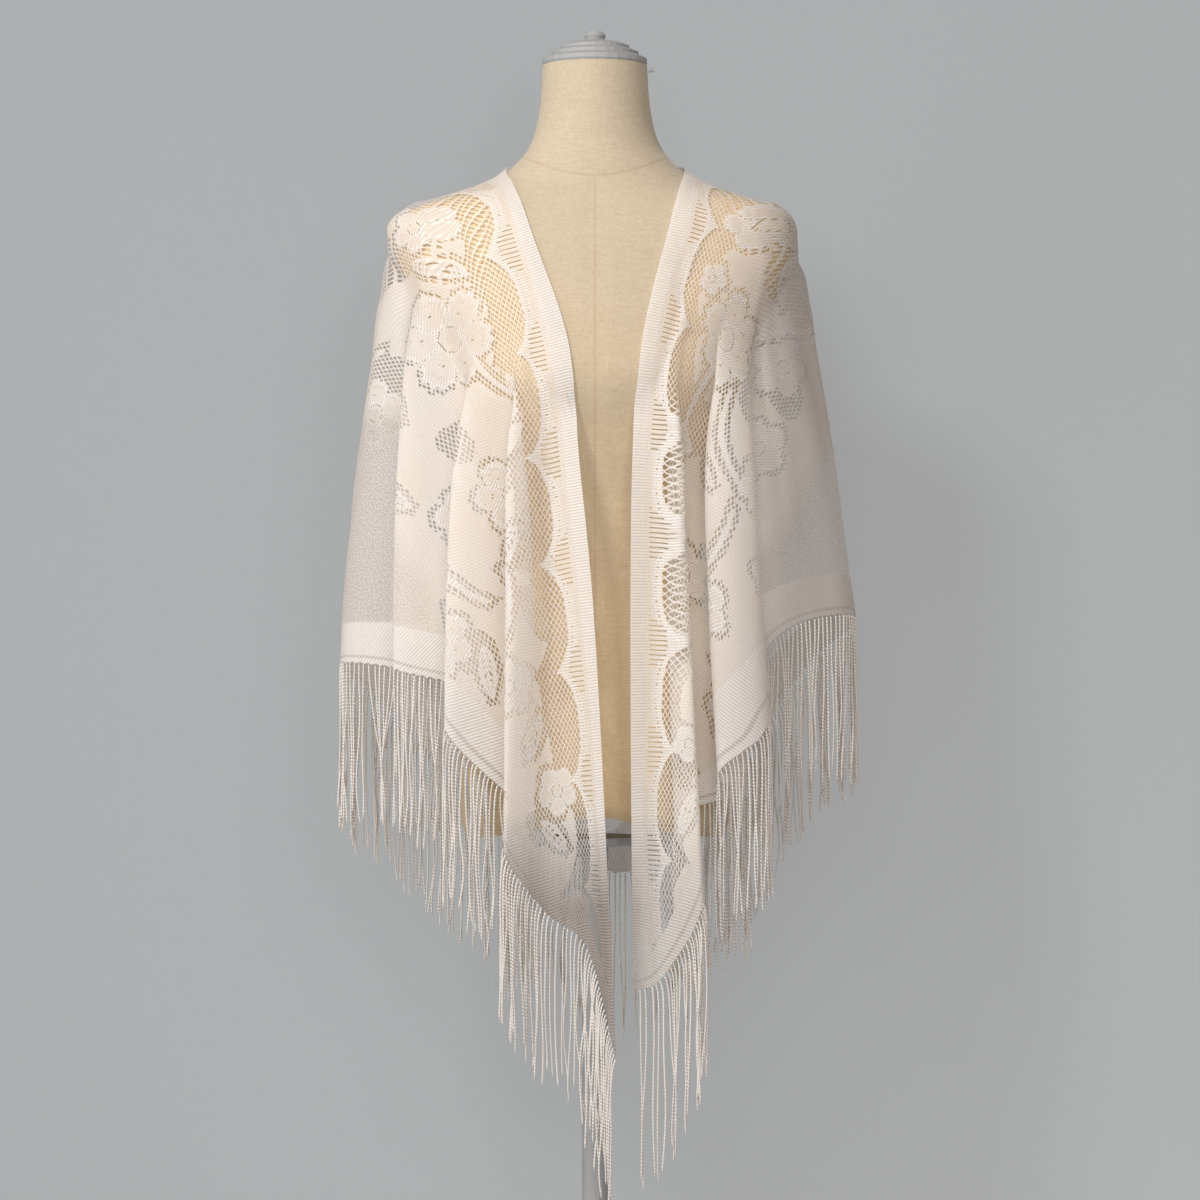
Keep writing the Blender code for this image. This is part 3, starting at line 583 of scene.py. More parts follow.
class Lace:
    """Where the cloth is open: above 0 is a hole. Kept on the grid of the flat cut."""

    def __init__(self):
        half = math.ceil(CUT_LENGTH / 2 / FINE_S) + 1
        self.s = np.arange(-half, half + 1) * FINE_S
        fine = int(round((LACE_DEPTH + 15) / FINE_T))
        self.t = np.concatenate(
            [
                np.arange(fine + 1) * FINE_T,
                fine * FINE_T + COARSE_T * np.arange(1, int((CUT_DEPTH - fine * FINE_T) / COARSE_T) + 3),
            ]
        )
        self.S, self.T = np.meshgrid(self.s, self.t, indexing="ij")
        self.hem = (
            (CUT_LENGTH / 2 - np.abs(self.S)) * CUT_DEPTH - self.T * CUT_LENGTH / 2
        ) / math.hypot(CUT_DEPTH, CUT_LENGTH / 2)  # distance in from the hem
        self.open = np.full(self.S.shape, -1.0)
        self.motif = np.zeros(self.S.shape)
        self.dense = np.zeros(self.S.shape, bool)
        self.draw()

    def net(self):
        """The diamond net: 1 at a hole's middle."""
        t = self.T / NET_T
        s = self.S / NET_S
        best = None
        for shift in (0.0, 0.5):
            dt = np.abs((t + shift + 0.5) % 1 - 0.5) * 2
            ds = np.abs((s + shift + 0.5) % 1 - 0.5) * 2
            value = 1 - dt - ds
            best = value if best is None else np.maximum(best, value)
        return best - self.thread

    def flower(self, x, y, size, petals):
        """Distance out from a flower's outline, and the marks within it."""
        r, at = np.hypot(x, y), np.arctan2(y, x)
        lobe = np.abs(np.cos(at * petals / 2))
        frill = 1 + 0.035 * np.cos(at * petals * 5)
        edge = size * (0.60 + 0.40 * lobe**0.6) * frill
        side = np.abs((at * petals / (2 * math.pi)) % 1 - 0.5) * 2 * math.pi / petals * r
        marks = (side < 1.3) & (r > 0.33 * size) & (r < 0.66 * size) & self.dots(2, 2)
        marks |= (np.abs(r - 0.25 * size) < 1.0) & self.dots(1, 2)
        if size > 30:
            marks |= (np.abs(r - 0.80 * edge) < 1.0) & (lobe > 0.72) & self.dots(2, 2)
            marks |= (np.abs(r - 0.55 * edge) < 0.9) & (lobe > 0.93) & self.dots(2, 1)
            marks |= (r < 0.12 * size) & self.dots(2, 3)
        return r - edge, marks

    def leaf(self, x, y, size, wide):
        lens = wide * (1 - np.clip(np.abs(x) / size, 0, 1) ** 2) ** 0.8
        away = np.maximum(np.abs(y) - lens, np.abs(x) - size)
        rung = (np.abs(x + 1.2 * np.abs(y)) % 5.7 < 1.6) & (np.abs(y) < 0.55 * lens) & (np.abs(x) < 0.8 * size)
        return away, rung & (np.abs(y) > 0.8)

    def draw(self):
        S, T = self.S, self.T
        scallop = np.abs((S / SCALLOP) % 1 - 0.5) * 2  # 0 at a cusp, 1 in the middle of a bay
        wave = BAY_NEAR + BAY_DEEP * (1 - np.sqrt(1 - (1 - scallop) ** 2))
        limit = LACE_DEPTH - 12 + 13 * np.sin(S / 47.0) + 8 * np.sin(S / 21.0 + 1.0)
        limit = limit - ARM_PLAIN * np.exp(-(((S + 268) / 88) ** 2))
        inside = np.full(S.shape, -999.0)  # how far within a motif
        for kind, s, t, size, more, turn in all_motifs():
            reach = size * 1.3 + 10
            i = np.searchsorted(self.s, (s - reach, s + reach))
            j = np.searchsorted(self.t, (t - reach, t + reach))
            here = (slice(*i), slice(*j))
            a = math.radians(turn)
            dx, dy = S[here] - s, T[here] - t
            x, y = dx * math.cos(a) + dy * math.sin(a), -dx * math.sin(a) + dy * math.cos(a)
            self.corner = (i[0], j[0], x.shape)
            if kind == "flower":
                away, marks = self.flower(x, y, size, more)
            elif kind == "leaf":
                away, marks = self.leaf(x, y, size, more)
            else:
                bend = y - more * ((x / size) ** 2 - 1)
                away = np.maximum(np.abs(bend) - 2.4, np.abs(x) - size)
                marks = np.zeros(x.shape, bool)
            if kind == "flower":
                r, at = np.hypot(x, y), np.arctan2(y, x)
                between = np.abs((at * more / (2 * math.pi)) % 1 - 0.5) * 2 * math.pi / more * r
                seam = (between < 2.9) & (r > 0.25 * size) & (away < 0)
                seam |= np.abs(r - 0.27 * size) < 2.6
                self.dense[here] |= seam | ((away < 0) & (away > -4.4))
            elif kind == "leaf":
                self.dense[here] |= (away < 0) & ((away > -2.8) | (np.abs(y) < 1.4))
            else:
                self.dense[here] |= away < 0
            depth = inside[here]
            covered = -away > depth
            inside[here] = np.where(covered, -away, depth)
            hole = self.open[here]
            hole = np.where(away < 1.0, -1.0, hole)
            self.open[here] = np.where(marks & (away < -0.8), PIN, hole)
            self.motif[here] = np.where(away < 0, 1.0, self.motif[here])
        marks = self.open > 0
        # Net in the bays, round each motif, and in a few drifts between them; the rest is close knit.
        drift = np.sin(S / 33.0 + 0.7) * np.sin(T / 26.0 + S / 90.0) + 0.5 * np.sin(S / 17.0 - T / 21.0)
        bay = T < wave + 30 + 9 * np.sin(S / 29.0)
        ring = inside > -NET_RING
        zone = (T > wave + 3.0) & (T < limit)
        self.thread = np.where(bay, BAY_THREAD, NET_THREAD)
        netted = zone & (inside < 0) & (bay | ring | (drift > DRIFT))
        self.open = np.where(netted, self.net(), np.where(marks, PIN, -1.0))
        # Ladder groups in the border, and the small holes between them.
        wide = 14.0 * np.clip(1 - (scallop / 0.5) ** 2, 0, 1) ** 0.7
        ladder = (T > 16.8) & (T < 18.0 + wide)
        rung = np.cos(2 * math.pi * S / (FINE_S * 3))
        self.open = np.where(ladder, rung - 0.42, self.open)
        self.corner = (0, 0, S.shape)
        holes = (np.abs(T - wave + 1.6) < 0.75) & self.dots(3, 1) & (scallop > 0.12)
        self.open = np.where(holes, PIN, self.open)
        self.dense |= (T < 13.0) | ((T > wave - 4.5) & (T < wave + 3.0))
        width = HEM_BAND - 18 * np.clip((np.abs(S) - 600) / 180, 0, 1)
        band = self.hem < width
        self.open = np.where(band & (self.open > -0.5), -1.0, self.open)
        self.open = np.maximum(self.open, -self.hem / 1.2)
        self.sheer = np.clip((T - limit + 4) / 26.0, 0, 1)
        self.dense |= band

    def dots(self, every_s, every_t):
        """The grid's own corners, every so many, in the piece of it that is being drawn."""
        i, j, shape = self.corner
        a = (i + np.arange(shape[0]))[:, None] % every_s == 0
        b = (j + np.arange(shape[1]))[None, :] % every_t == 0
        return a & b


def lace_mesh(lace, hung, out, flat):
    """Builds the five stretches of lace."""
    ns, nt = lace.open.shape
    value = np.clip(lace.open, -1.0, 1.0)
    value = np.where(np.abs(value) < 1e-4, -1e-4, value)
    solid = value < 0
    # Grid corners in or next to the cut.
    near = lace.hem > -2.5 * COARSE_T
    places = np.zeros((ns, nt, 2))
    found = places_of(flat, np.stack([lace.S[near], lace.T[near]], axis=1))
    places[near] = found
    corner_id = np.arange(ns * nt).reshape(ns, nt)
    # Crossings on edges along s and along t.
    def crossing(a, b):
        return a / (a - b)

    cross_s = solid[:-1] != solid[1:]
    cross_t = solid[:, :-1] != solid[:, 1:]
    share_s = np.where(cross_s, crossing(value[:-1], np.where(cross_s, value[1:], value[:-1] - 1)), 0)
    share_t = np.where(cross_t, crossing(value[:, :-1], np.where(cross_t, value[:, 1:], value[:, :-1] - 1)), 0)
    share_s, share_t = np.clip(share_s, 0.04, 0.96), np.clip(share_t, 0.04, 0.96)
    count = ns * nt
    id_s = np.full(cross_s.shape, -1)
    id_s[cross_s] = count + np.arange(cross_s.sum())
    id_t = np.full(cross_t.shape, -1)
    id_t[cross_t] = count + cross_s.sum() + np.arange(cross_t.sum())

    def blend_s(grid):
        return (grid[:-1] + (grid[1:] - grid[:-1]) * share_s[..., None])[cross_s]

    def blend_t(grid):
        return (grid[:, :-1] + (grid[:, 1:] - grid[:, :-1]) * share_t[..., None])[cross_t]

    flat_all = np.stack([lace.S, lace.T], axis=-1)
    extra = np.stack([lace.motif, lace.hem, lace.sheer, lace.dense.astype(float)], axis=-1)
    join = lambda grid: np.concatenate([grid.reshape(-1, grid.shape[-1]), blend_s(grid), blend_t(grid)])
    place_v, flat_v, extra_v = join(places), join(flat_all), join(extra)
    cells_near = near[:-1, :-1] & near[1:, :-1] & near[:-1, 1:] & near[1:, 1:]
    fold = (places[:-1, :-1, 0] + places[1:, 1:, 0]) / 2 / FOLD_PARTS
    code = (
        solid[:-1, :-1] * 1 + solid[1:, :-1] * 2 + solid[1:, 1:] * 4 + solid[:-1, 1:] * 8
    ) * cells_near
    corner = (corner_id[:-1, :-1], corner_id[1:, :-1], corner_id[1:, 1:], corner_id[:-1, 1:])
    middle = (id_s[:, :-1], id_t[1:, :], id_s[:, 1:], id_t[:-1, :])
    made = []
    for name, first, last in WALLS:
        mine = (fold >= first) & (fold < last if last < LAST_FOLD else fold < LAST_FOLD + 1)
        loops, totals = [], []
        for case in range(1, 16):
            here = (code == case) & mine
            if not here.any():
                continue
            ring = []
            for k in range(4):
                a, b = bool(case >> k & 1), bool(case >> ((k + 1) % 4) & 1)
                if a:
                    ring.append(corner[k][here])
                if a != b:
                    ring.append(middle[k][here])
            ring = np.stack(ring[::-1], axis=1)
            loops.append(ring.reshape(-1))
            totals.append(np.full(len(ring), ring.shape[1]))
        loops, totals = np.concatenate(loops), np.concatenate(totals)
        used, loops = np.unique(loops, return_inverse=True)
        mesh = bpy.data.meshes.new(name)
        mesh.vertices.add(len(used))
        where = cubic(hung, place_v[used, 0], place_v[used, 1])
        raised = extra_v[used, 3] * (extra_v[used, 1] > HEM_BAND) * MOTIF_RAISE
        normal = cubic(out, place_v[used, 0], place_v[used, 1])
        normal /= np.linalg.norm(normal, axis=1, keepdims=True) + 1e-9
        where = where + normal * raised[:, None]
        mesh.vertices.foreach_set("co", (where * MM).astype(np.float32).reshape(-1))
        mesh.loops.add(len(loops))
        mesh.loops.foreach_set("vertex_index", loops.astype(np.int32))
        mesh.polygons.add(len(totals))
        mesh.polygons.foreach_set(
            "loop_start", np.concatenate([[0], np.cumsum(totals)[:-1]]).astype(np.int32)
        )
        mesh.update(calc_edges=True)
        mesh.shade_smooth()
        uv = mesh.uv_layers.new(name="Flat")
        uv.data.foreach_set("uv", (flat_v[used][loops] * MM).astype(np.float32).reshape(-1))
        # Painted shade: the cloth is coloured darker where it hangs below the form, most on the left point, and over
        # the right arm.
        low = np.clip((438 - where[:, 2]) / 90, 0, 1) * np.clip((58 - where[:, 0]) / 30, 0.35, 1)
        low = np.maximum(low, 0.45 * np.clip((where[:, 0] - 145) / 50, 0, 1))
        for title, values in (
            ("motif", extra_v[used, 0]),
            ("hem", extra_v[used, 1]),
            ("sheer", extra_v[used, 2]),
            ("dense", extra_v[used, 3]),
            ("low", low),
        ):
            layer = mesh.attributes.new(title, "FLOAT", "POINT")
            layer.data.foreach_set("value", values.astype(np.float32))
        mesh.normals_split_custom_set_from_vertices(normal.astype(np.float32))
        mesh.validate()
        obj = bpy.data.objects.new("lace_cloth_" + name, mesh)
        bpy.context.scene.collection.objects.link(obj)
        cells = mine & near[:-1, :-1] & (lace.hem[:-1, :-1] > 0)
        size = np.outer(np.diff(lace.s), np.diff(lace.t)) * MM * MM
        spread = flat_v[used]
        obj["flat_area"] = float(size[cells].sum())
        obj["flat_length"], obj["flat_width"] = (float(np.ptp(spread[:, k])) * MM for k in (0, 1))
        made.append(obj)
        print(name, "polygons", len(totals), "triangles", int((totals - 2).sum()))
    return made


# ---------------------------------------------------------------- materials
def nodes_of(name):
    made = bpy.data.materials.new(name)
    made.use_nodes = True
    tree = made.node_tree
    return made, tree, tree.nodes["Principled BSDF"]


def link(tree, a, b):
    tree.links.new(a, b)


def maths(tree, kind, a, b=None, clamp=False):
    node = tree.nodes.new("ShaderNodeMath")
    node.operation = kind
    node.use_clamp = clamp
    for k, value in enumerate((a, b)):
        if value is None:
            continue
        if isinstance(value, (int, float)):
            node.inputs[k].default_value = value
        else:
            link(tree, value, node.inputs[k])
    return node.outputs[0]


def mix(tree, share, a, b):
    node = tree.nodes.new("ShaderNodeMix")
    node.data_type = "RGBA"
    for socket, value in ((node.inputs[0], share), (node.inputs[6], a), (node.inputs[7], b)):
        if isinstance(value, (int, float, tuple)):
            socket.default_value = value
        else:
            link(tree, value, socket)
    return node.outputs[2]


def ramp(tree, value, low, high):
    """0 below low, 1 above high."""
    node = tree.nodes.new("ShaderNodeMapRange")
    node.clamp = True
    node.inputs[1].default_value = low
    node.inputs[2].default_value = high
    link(tree, value, node.inputs[0])
    return node.outputs[0]


def noise(tree, where, scale, detail=2.0, stretch=None):
    if stretch is not None:
        node = tree.nodes.new("ShaderNodeMapping")
        node.inputs["Scale"].default_value = stretch
        link(tree, where, node.inputs["Vector"])
        where = node.outputs[0]
    made = tree.nodes.new("ShaderNodeTexNoise")
    made.inputs["Scale"].default_value = scale
    made.inputs["Detail"].default_value = detail
    link(tree, where, made.inputs["Vector"])
    return made.outputs[0]


def bump(tree, shader, height, distance, strength=1.0):
    node = tree.nodes.new("ShaderNodeBump")
    node.inputs["Strength"].default_value = strength
    node.inputs["Distance"].default_value = distance
    link(tree, height, node.inputs["Height"])
    link(tree, node.outputs[0], shader.inputs["Normal"])


def thin_cloth(tree, shader, colour, alpha, share):
    """Lets light through the cloth: some scattered, and some straight through its gaps."""
    through = tree.nodes.new("ShaderNodeBsdfTranslucent")
    link(tree, colour, through.inputs["Color"])
    both = tree.nodes.new("ShaderNodeMixShader")
    both.inputs[0].default_value = share
    link(tree, shader.outputs[0], both.inputs[1])
    link(tree, through.outputs[0], both.inputs[2])
    clear = tree.nodes.new("ShaderNodeBsdfTransparent")
    last = tree.nodes.new("ShaderNodeMixShader")
    link(tree, alpha, last.inputs[0])
    link(tree, clear.outputs[0], last.inputs[1])
    link(tree, both.outputs[0], last.inputs[2])
    link(tree, last.outputs[0], tree.nodes["Material Output"].inputs["Surface"])


def lace_material():
    made, tree, shader = nodes_of("lace")
    uv = tree.nodes.new("ShaderNodeUVMap")
    uv.uv_map = "Flat"
    split = tree.nodes.new("ShaderNodeSeparateXYZ")
    link(tree, uv.outputs[0], split.inputs[0])
    s, t = split.outputs[0], split.outputs[1]
    masks = {}
    for name in ("motif", "hem", "sheer", "dense", "low"):
        node = tree.nodes.new("ShaderNodeAttribute")
        node.attribute_name = name
        masks[name] = node.outputs["Fac"]
    # Knitted ribs, square to the long edge; slanted within a flower.
    wander = maths(tree, "MULTIPLY", maths(tree, "SINE", maths(tree, "MULTIPLY", t, 43.0)), 0.0012)
    along = maths(tree, "ADD", s, wander)
    straight = maths(tree, "SINE", maths(tree, "MULTIPLY", along, 2 * math.pi / 0.0027))
    slanted = maths(
        tree,
        "SINE",
        maths(tree, "MULTIPLY", maths(tree, "ADD", along, maths(tree, "MULTIPLY", t, 0.9)), 2 * math.pi / 0.0034),
    )
    lean = ramp(tree, masks["motif"], 0.6, 0.95)
    rib = maths(
        tree,
        "ADD",
        maths(tree, "MULTIPLY", straight, maths(tree, "SUBTRACT", 1.0, lean)),
        maths(tree, "MULTIPLY", slanted, lean),
    )
    stitch = maths(tree, "SINE", maths(tree, "MULTIPLY", t, 2 * math.pi / 0.0019))
    grain = noise(tree, uv.outputs[0], 720.0, 1.0)
    in_band = ramp(tree, masks["hem"], HEM_BAND + 1.0, HEM_BAND - 1.0)
    hem_line = maths(
        tree, "MULTIPLY", ramp(tree, masks["hem"], 4.5, 6.0), ramp(tree, masks["hem"], 8.5, 7.0)
    )
    sheer = maths(tree, "MULTIPLY", masks["sheer"], maths(tree, "SUBTRACT", 1.0, in_band))
    relief = maths(tree, "ADD", maths(tree, "MULTIPLY", masks["dense"], 0.30), 0.12)
    height = maths(
        tree,
        "ADD",
        maths(tree, "MULTIPLY", rib, maths(tree, "SUBTRACT", relief, maths(tree, "MULTIPLY", sheer, 0.14))),
        maths(tree, "ADD", maths(tree, "MULTIPLY", stitch, 0.10), maths(tree, "MULTIPLY", grain, 0.9)),
    )
    bump(tree, shader, height, 0.0005, 0.8)
    shade = maths(tree, "MULTIPLY", maths(tree, "ADD", rib, 1.0), 0.5)
    patch = maths(tree, "MULTIPLY", maths(tree, "ADD", maths(tree, "SINE", maths(tree, "MULTIPLY", s, 71.0)), 1.0), 0.5)
    mottle = maths(tree, "ADD", maths(tree, "MULTIPLY", shade, 0.45), maths(tree, "MULTIPLY", grain, 0.55))
    fill = mix(tree, mottle, (0.835, 0.768, 0.708, 1), (0.915, 0.856, 0.800, 1))
    cord = mix(tree, shade, (0.800, 0.748, 0.706, 1), (0.935, 0.900, 0.868, 1))
    # Painted shade: the darker brown-grey that the cloth takes below the form and over the right arm.
    painted_shade_colour = mix(tree, shade, (0.290, 0.245, 0.217, 1), (0.485, 0.425, 0.383, 1))
    base = mix(tree, masks["dense"], mix(tree, maths(tree, "MULTIPLY", patch, 0.4), fill, cord), cord)
    base = mix(tree, maths(tree, "MULTIPLY", sheer, 0.8), base, (0.865, 0.790, 0.735, 1))
    base = mix(tree, maths(tree, "MULTIPLY", hem_line, 0.45), base, (0.60, 0.53, 0.48, 1))
    # Painted shade: the low mask darkens the cloth below the form and over the right arm.
    base = mix(tree, masks["low"], base, painted_shade_colour)
    link(tree, base, shader.inputs["Base Color"])
    # The plain knit past the flowers is fine enough to see through.
    speck = ramp(tree, grain, 0.38, 0.62)
    through = maths(tree, "MULTIPLY", sheer, maths(tree, "ADD", maths(tree, "MULTIPLY", speck, 0.41), 0.13))
    gaps = maths(tree, "ADD", 0.07, maths(tree, "MULTIPLY", masks["dense"], 0.06))
    gaps = maths(tree, "ADD", gaps, maths(tree, "MULTIPLY", hem_line, 0.3))
    thin = maths(tree, "MULTIPLY", maths(tree, "SUBTRACT", 1.0, shade), gaps)
    thin = maths(
        tree, "ADD", thin, maths(tree, "MULTIPLY", maths(tree, "SUBTRACT", 1.0, masks["dense"]), 0.14)
    )
    thin = maths(tree, "ADD", thin, maths(tree, "MULTIPLY", masks["low"], 0.10))
    alpha = maths(tree, "SUBTRACT", maths(tree, "SUBTRACT", 0.99, through), thin)
    shader.inputs["Roughness"].default_value = 0.62
    shader.inputs["Sheen Weight"].default_value = 0.25
    shader.inputs["Sheen Roughness"].default_value = 0.4
    shader.inputs["Specular IOR Level"].default_value = 0.35
    thin_cloth(tree, shader, base, alpha, 0.35)
    return made


def cord_material():
    made, tree, shader = nodes_of("fringe")
    uv = tree.nodes.new("ShaderNodeUVMap")
    uv.uv_map = "Twist"
    split = tree.nodes.new("ShaderNodeSeparateXYZ")
    link(tree, uv.outputs[0], split.inputs[0])
    turn = maths(
        tree,
        "SINE",
        maths(
            tree,
            "ADD",
            maths(tree, "MULTIPLY", split.outputs[0], 4 * math.pi),
            maths(tree, "MULTIPLY", split.outputs[1], 2 * math.pi / 0.0032),
        ),
    )
    bump(tree, shader, turn, 0.0004, 0.9)
    shade = maths(tree, "MULTIPLY", maths(tree, "ADD", turn, 1.0), 0.5)
    link(
        tree,
        mix(tree, shade, (0.70, 0.64, 0.59, 1), (0.90, 0.855, 0.815, 1)),
        shader.inputs["Base Color"],
    )
    shader.inputs["Roughness"].default_value = 0.6
    shader.inputs["Sheen Weight"].default_value = 0.2
    return made


def linen_material():
    made, tree, shader = nodes_of("linen")
    where = tree.nodes.new("ShaderNodeTexCoord").outputs["Object"]
    across = noise(tree, where, 110.0, 2.0, (1.6, 1.6, 8.0))
    down = noise(tree, where, 110.0, 2.0, (8.0, 8.0, 1.4))
    slub = noise(tree, where, 34.0, 1.0, (1.6, 1.6, 12.0))
    weave = maths(tree, "ADD", across, down)
    share = ramp(tree, maths(tree, "ADD", weave, maths(tree, "MULTIPLY", slub, 0.5)), 0.85, 1.65)
    linen = mix(tree, share, (0.436, 0.357, 0.252, 1), (0.524, 0.446, 0.334, 1))
    split = tree.nodes.new("ShaderNodeSeparateXYZ")
    link(tree, where, split.inputs[0])
    x, y, z = split.outputs
    # Painted light: under the lace the linen is coloured a brighter, deeper gold, for the light the lace lets through
    # onto it; all but the open front and the neck.
    away = maths(tree, "ADD", maths(tree, "MULTIPLY", z, 0.0378), -0.0394)
    away = maths(tree, "ABSOLUTE", maths(tree, "ADD", x, away), 0.0)
    low_gap = maths(tree, "MAXIMUM", maths(tree, "ADD", maths(tree, "MULTIPLY", z, 0.0614), -0.0213), 0.013)
    gap = maths(tree, "MAXIMUM", low_gap, maths(tree, "ADD", maths(tree, "MULTIPLY", z, 0.293), -0.2223))
    painted_light_under_lace = ramp(tree, maths(tree, "SUBTRACT", away, gap), 0.001, 0.007)
    painted_light_under_lace = maths(tree, "MAXIMUM", painted_light_under_lace, ramp(tree, y, 0.0, 0.02))
    painted_light_under_lace = maths(tree, "MULTIPLY", painted_light_under_lace, ramp(tree, z, 1.050, 1.038))
    # Seams: down the middle of the front, and round the root of the neck.
    front = ramp(tree, y, 0.02, 0.0)
    # Painted shade: lower down the linen is coloured a warmer, darker brown, for the warm shade it stands in there.
    painted_warm_shade = maths(tree, "MULTIPLY", ramp(tree, z, 1.0, 0.42), 0.85)
    linen = mix(tree, painted_warm_shade, linen, mix(tree, share, (0.475, 0.335, 0.178, 1), (0.560, 0.412, 0.240, 1)))
    # Painted light: the brighter, deeper gold linen where the lace covers it.
    linen = mix(tree, painted_light_under_lace, linen, mix(tree, share, (0.570, 0.430, 0.262, 1), (0.655, 0.512, 0.335, 1)))
    middle = maths(tree, "ABSOLUTE", x, 0.0)
    root = maths(tree, "ADD", maths(tree, "MULTIPLY", maths(tree, "MULTIPLY", x, x), 4.52), 1.0352)
    above = maths(tree, "SUBTRACT", z, root)
    line = maths(tree, "MULTIPLY", ramp(tree, middle, 0.0013, 0.0004), ramp(tree, above, 0.0, -0.001))
    ring = ramp(tree, maths(tree, "ABSOLUTE", above, 0.0), 0.0017, 0.0004)
    seam = maths(tree, "MULTIPLY", maths(tree, "MAXIMUM", line, ring), front)
    link(
        tree,
        mix(tree, maths(tree, "MULTIPLY", seam, 0.4), linen, (0.37, 0.265, 0.165, 1)),
        shader.inputs["Base Color"],
    )
    bump(tree, shader, weave, 0.0005, 0.5)
    shader.inputs["Roughness"].default_value = 0.85
    shader.inputs["Sheen Weight"].default_value = 0.15
    shader.inputs["Specular IOR Level"].default_value = 0.25
    return made


def plain_material(name, colour, rough, metallic):
    made, tree, shader = nodes_of(name)
    shader.inputs["Base Color"].default_value = colour
    shader.inputs["Roughness"].default_value = rough
    shader.inputs["Metallic"].default_value = metallic
    return made


def grid_mesh(name, grid, wrap_u=False, caps=()):
    """A mesh from a grid of points in mm; caps closes the first or last row, rows running along v."""
    nu, nv = grid.shape[:2]
    points = grid.reshape(-1, 3) * MM
    i, j = np.meshgrid(np.arange(nu if wrap_u else nu - 1), np.arange(nv - 1), indexing="ij")
    a, b = (i * nv + j).ravel(), (((i + 1) % nu) * nv + j).ravel()
    faces = np.stack([a, b, b + 1, a + 1], axis=1).tolist()
    for end in caps:
        ring = [k * nv + (0 if end == 0 else nv - 1) for k in range(nu)]
        faces.append(ring[::-1] if end == 0 else ring)
    mesh = bpy.data.meshes.new(name)
    mesh.from_pydata(points.tolist(), [], faces)
    mesh.shade_smooth()
    obj = bpy.data.objects.new(name, mesh)
    bpy.context.scene.collection.objects.link(obj)
    return obj


# ---------------------------------------------------------------- the form
def form_cover():
    """The linen cover, with its seams pressed in."""
    around, up = 160, 190
    z = np.linspace(407, 1146, up)
    turn = np.linspace(0, 2 * math.pi, around, endpoint=False)
    Z, A = np.meshgrid(z, turn, indexing="xy")
    wide, front, back, middle, square = form_size(Z)
    c, s = np.cos(A), np.sin(A)
    x = wide * np.sign(c) * np.abs(c) ** (2 / square)
    y = np.where(s > 0, back, front) * np.sign(s) * np.abs(s) ** (2 / square) + middle
    low = np.clip(1 - (Z - 407) / 110, 0, 1)
    lift = HEM_ARCH * low * np.abs(s) * np.exp(-((x / 75) ** 2))
    grid = np.stack([x, y, Z + lift], axis=-1)
    # Seams: down the middle of the front, and round the root of the neck.
    seam = np.exp(-((x / 1.1) ** 2)) * (s < 0) * (Z < 1040)
    root = 1037 + 16 * (np.abs(x) / 85) ** 2 + 8 * (s > 0)
    ring = np.exp(-(((Z - root) / 1.6) ** 2))
    dip = 0.9 * np.maximum(seam, ring)
    inward = np.stack([x, y - middle, np.zeros_like(x)], axis=-1)
    inward /= np.linalg.norm(inward, axis=-1, keepdims=True) + 1e-9
    grid = grid - inward * dip[..., None]
    # Under the lace the cover is padded a little fuller at the shoulders.
    full = np.clip((np.abs(x) - 98) / 15, 0, 1) * np.clip((Z - 940) / 20, 0, 1)
    grid = grid + np.stack([inward[..., 0] * full, inward[..., 1] * full, full * 1.6], axis=-1) * 1.2
    # The foot of the cover is turned in and up.
    foot = grid[:, :1] - inward[:, :1] * 5
    foot[..., 2] = 407 + HEM_ARCH + 3
    grid = np.concatenate([foot, grid], axis=1)
    obj = grid_mesh("linen_cover", grid, wrap_u=True, caps=(0, 1))
    obj.data.set_sharp_from_angle(angle=math.radians(40))
    return obj


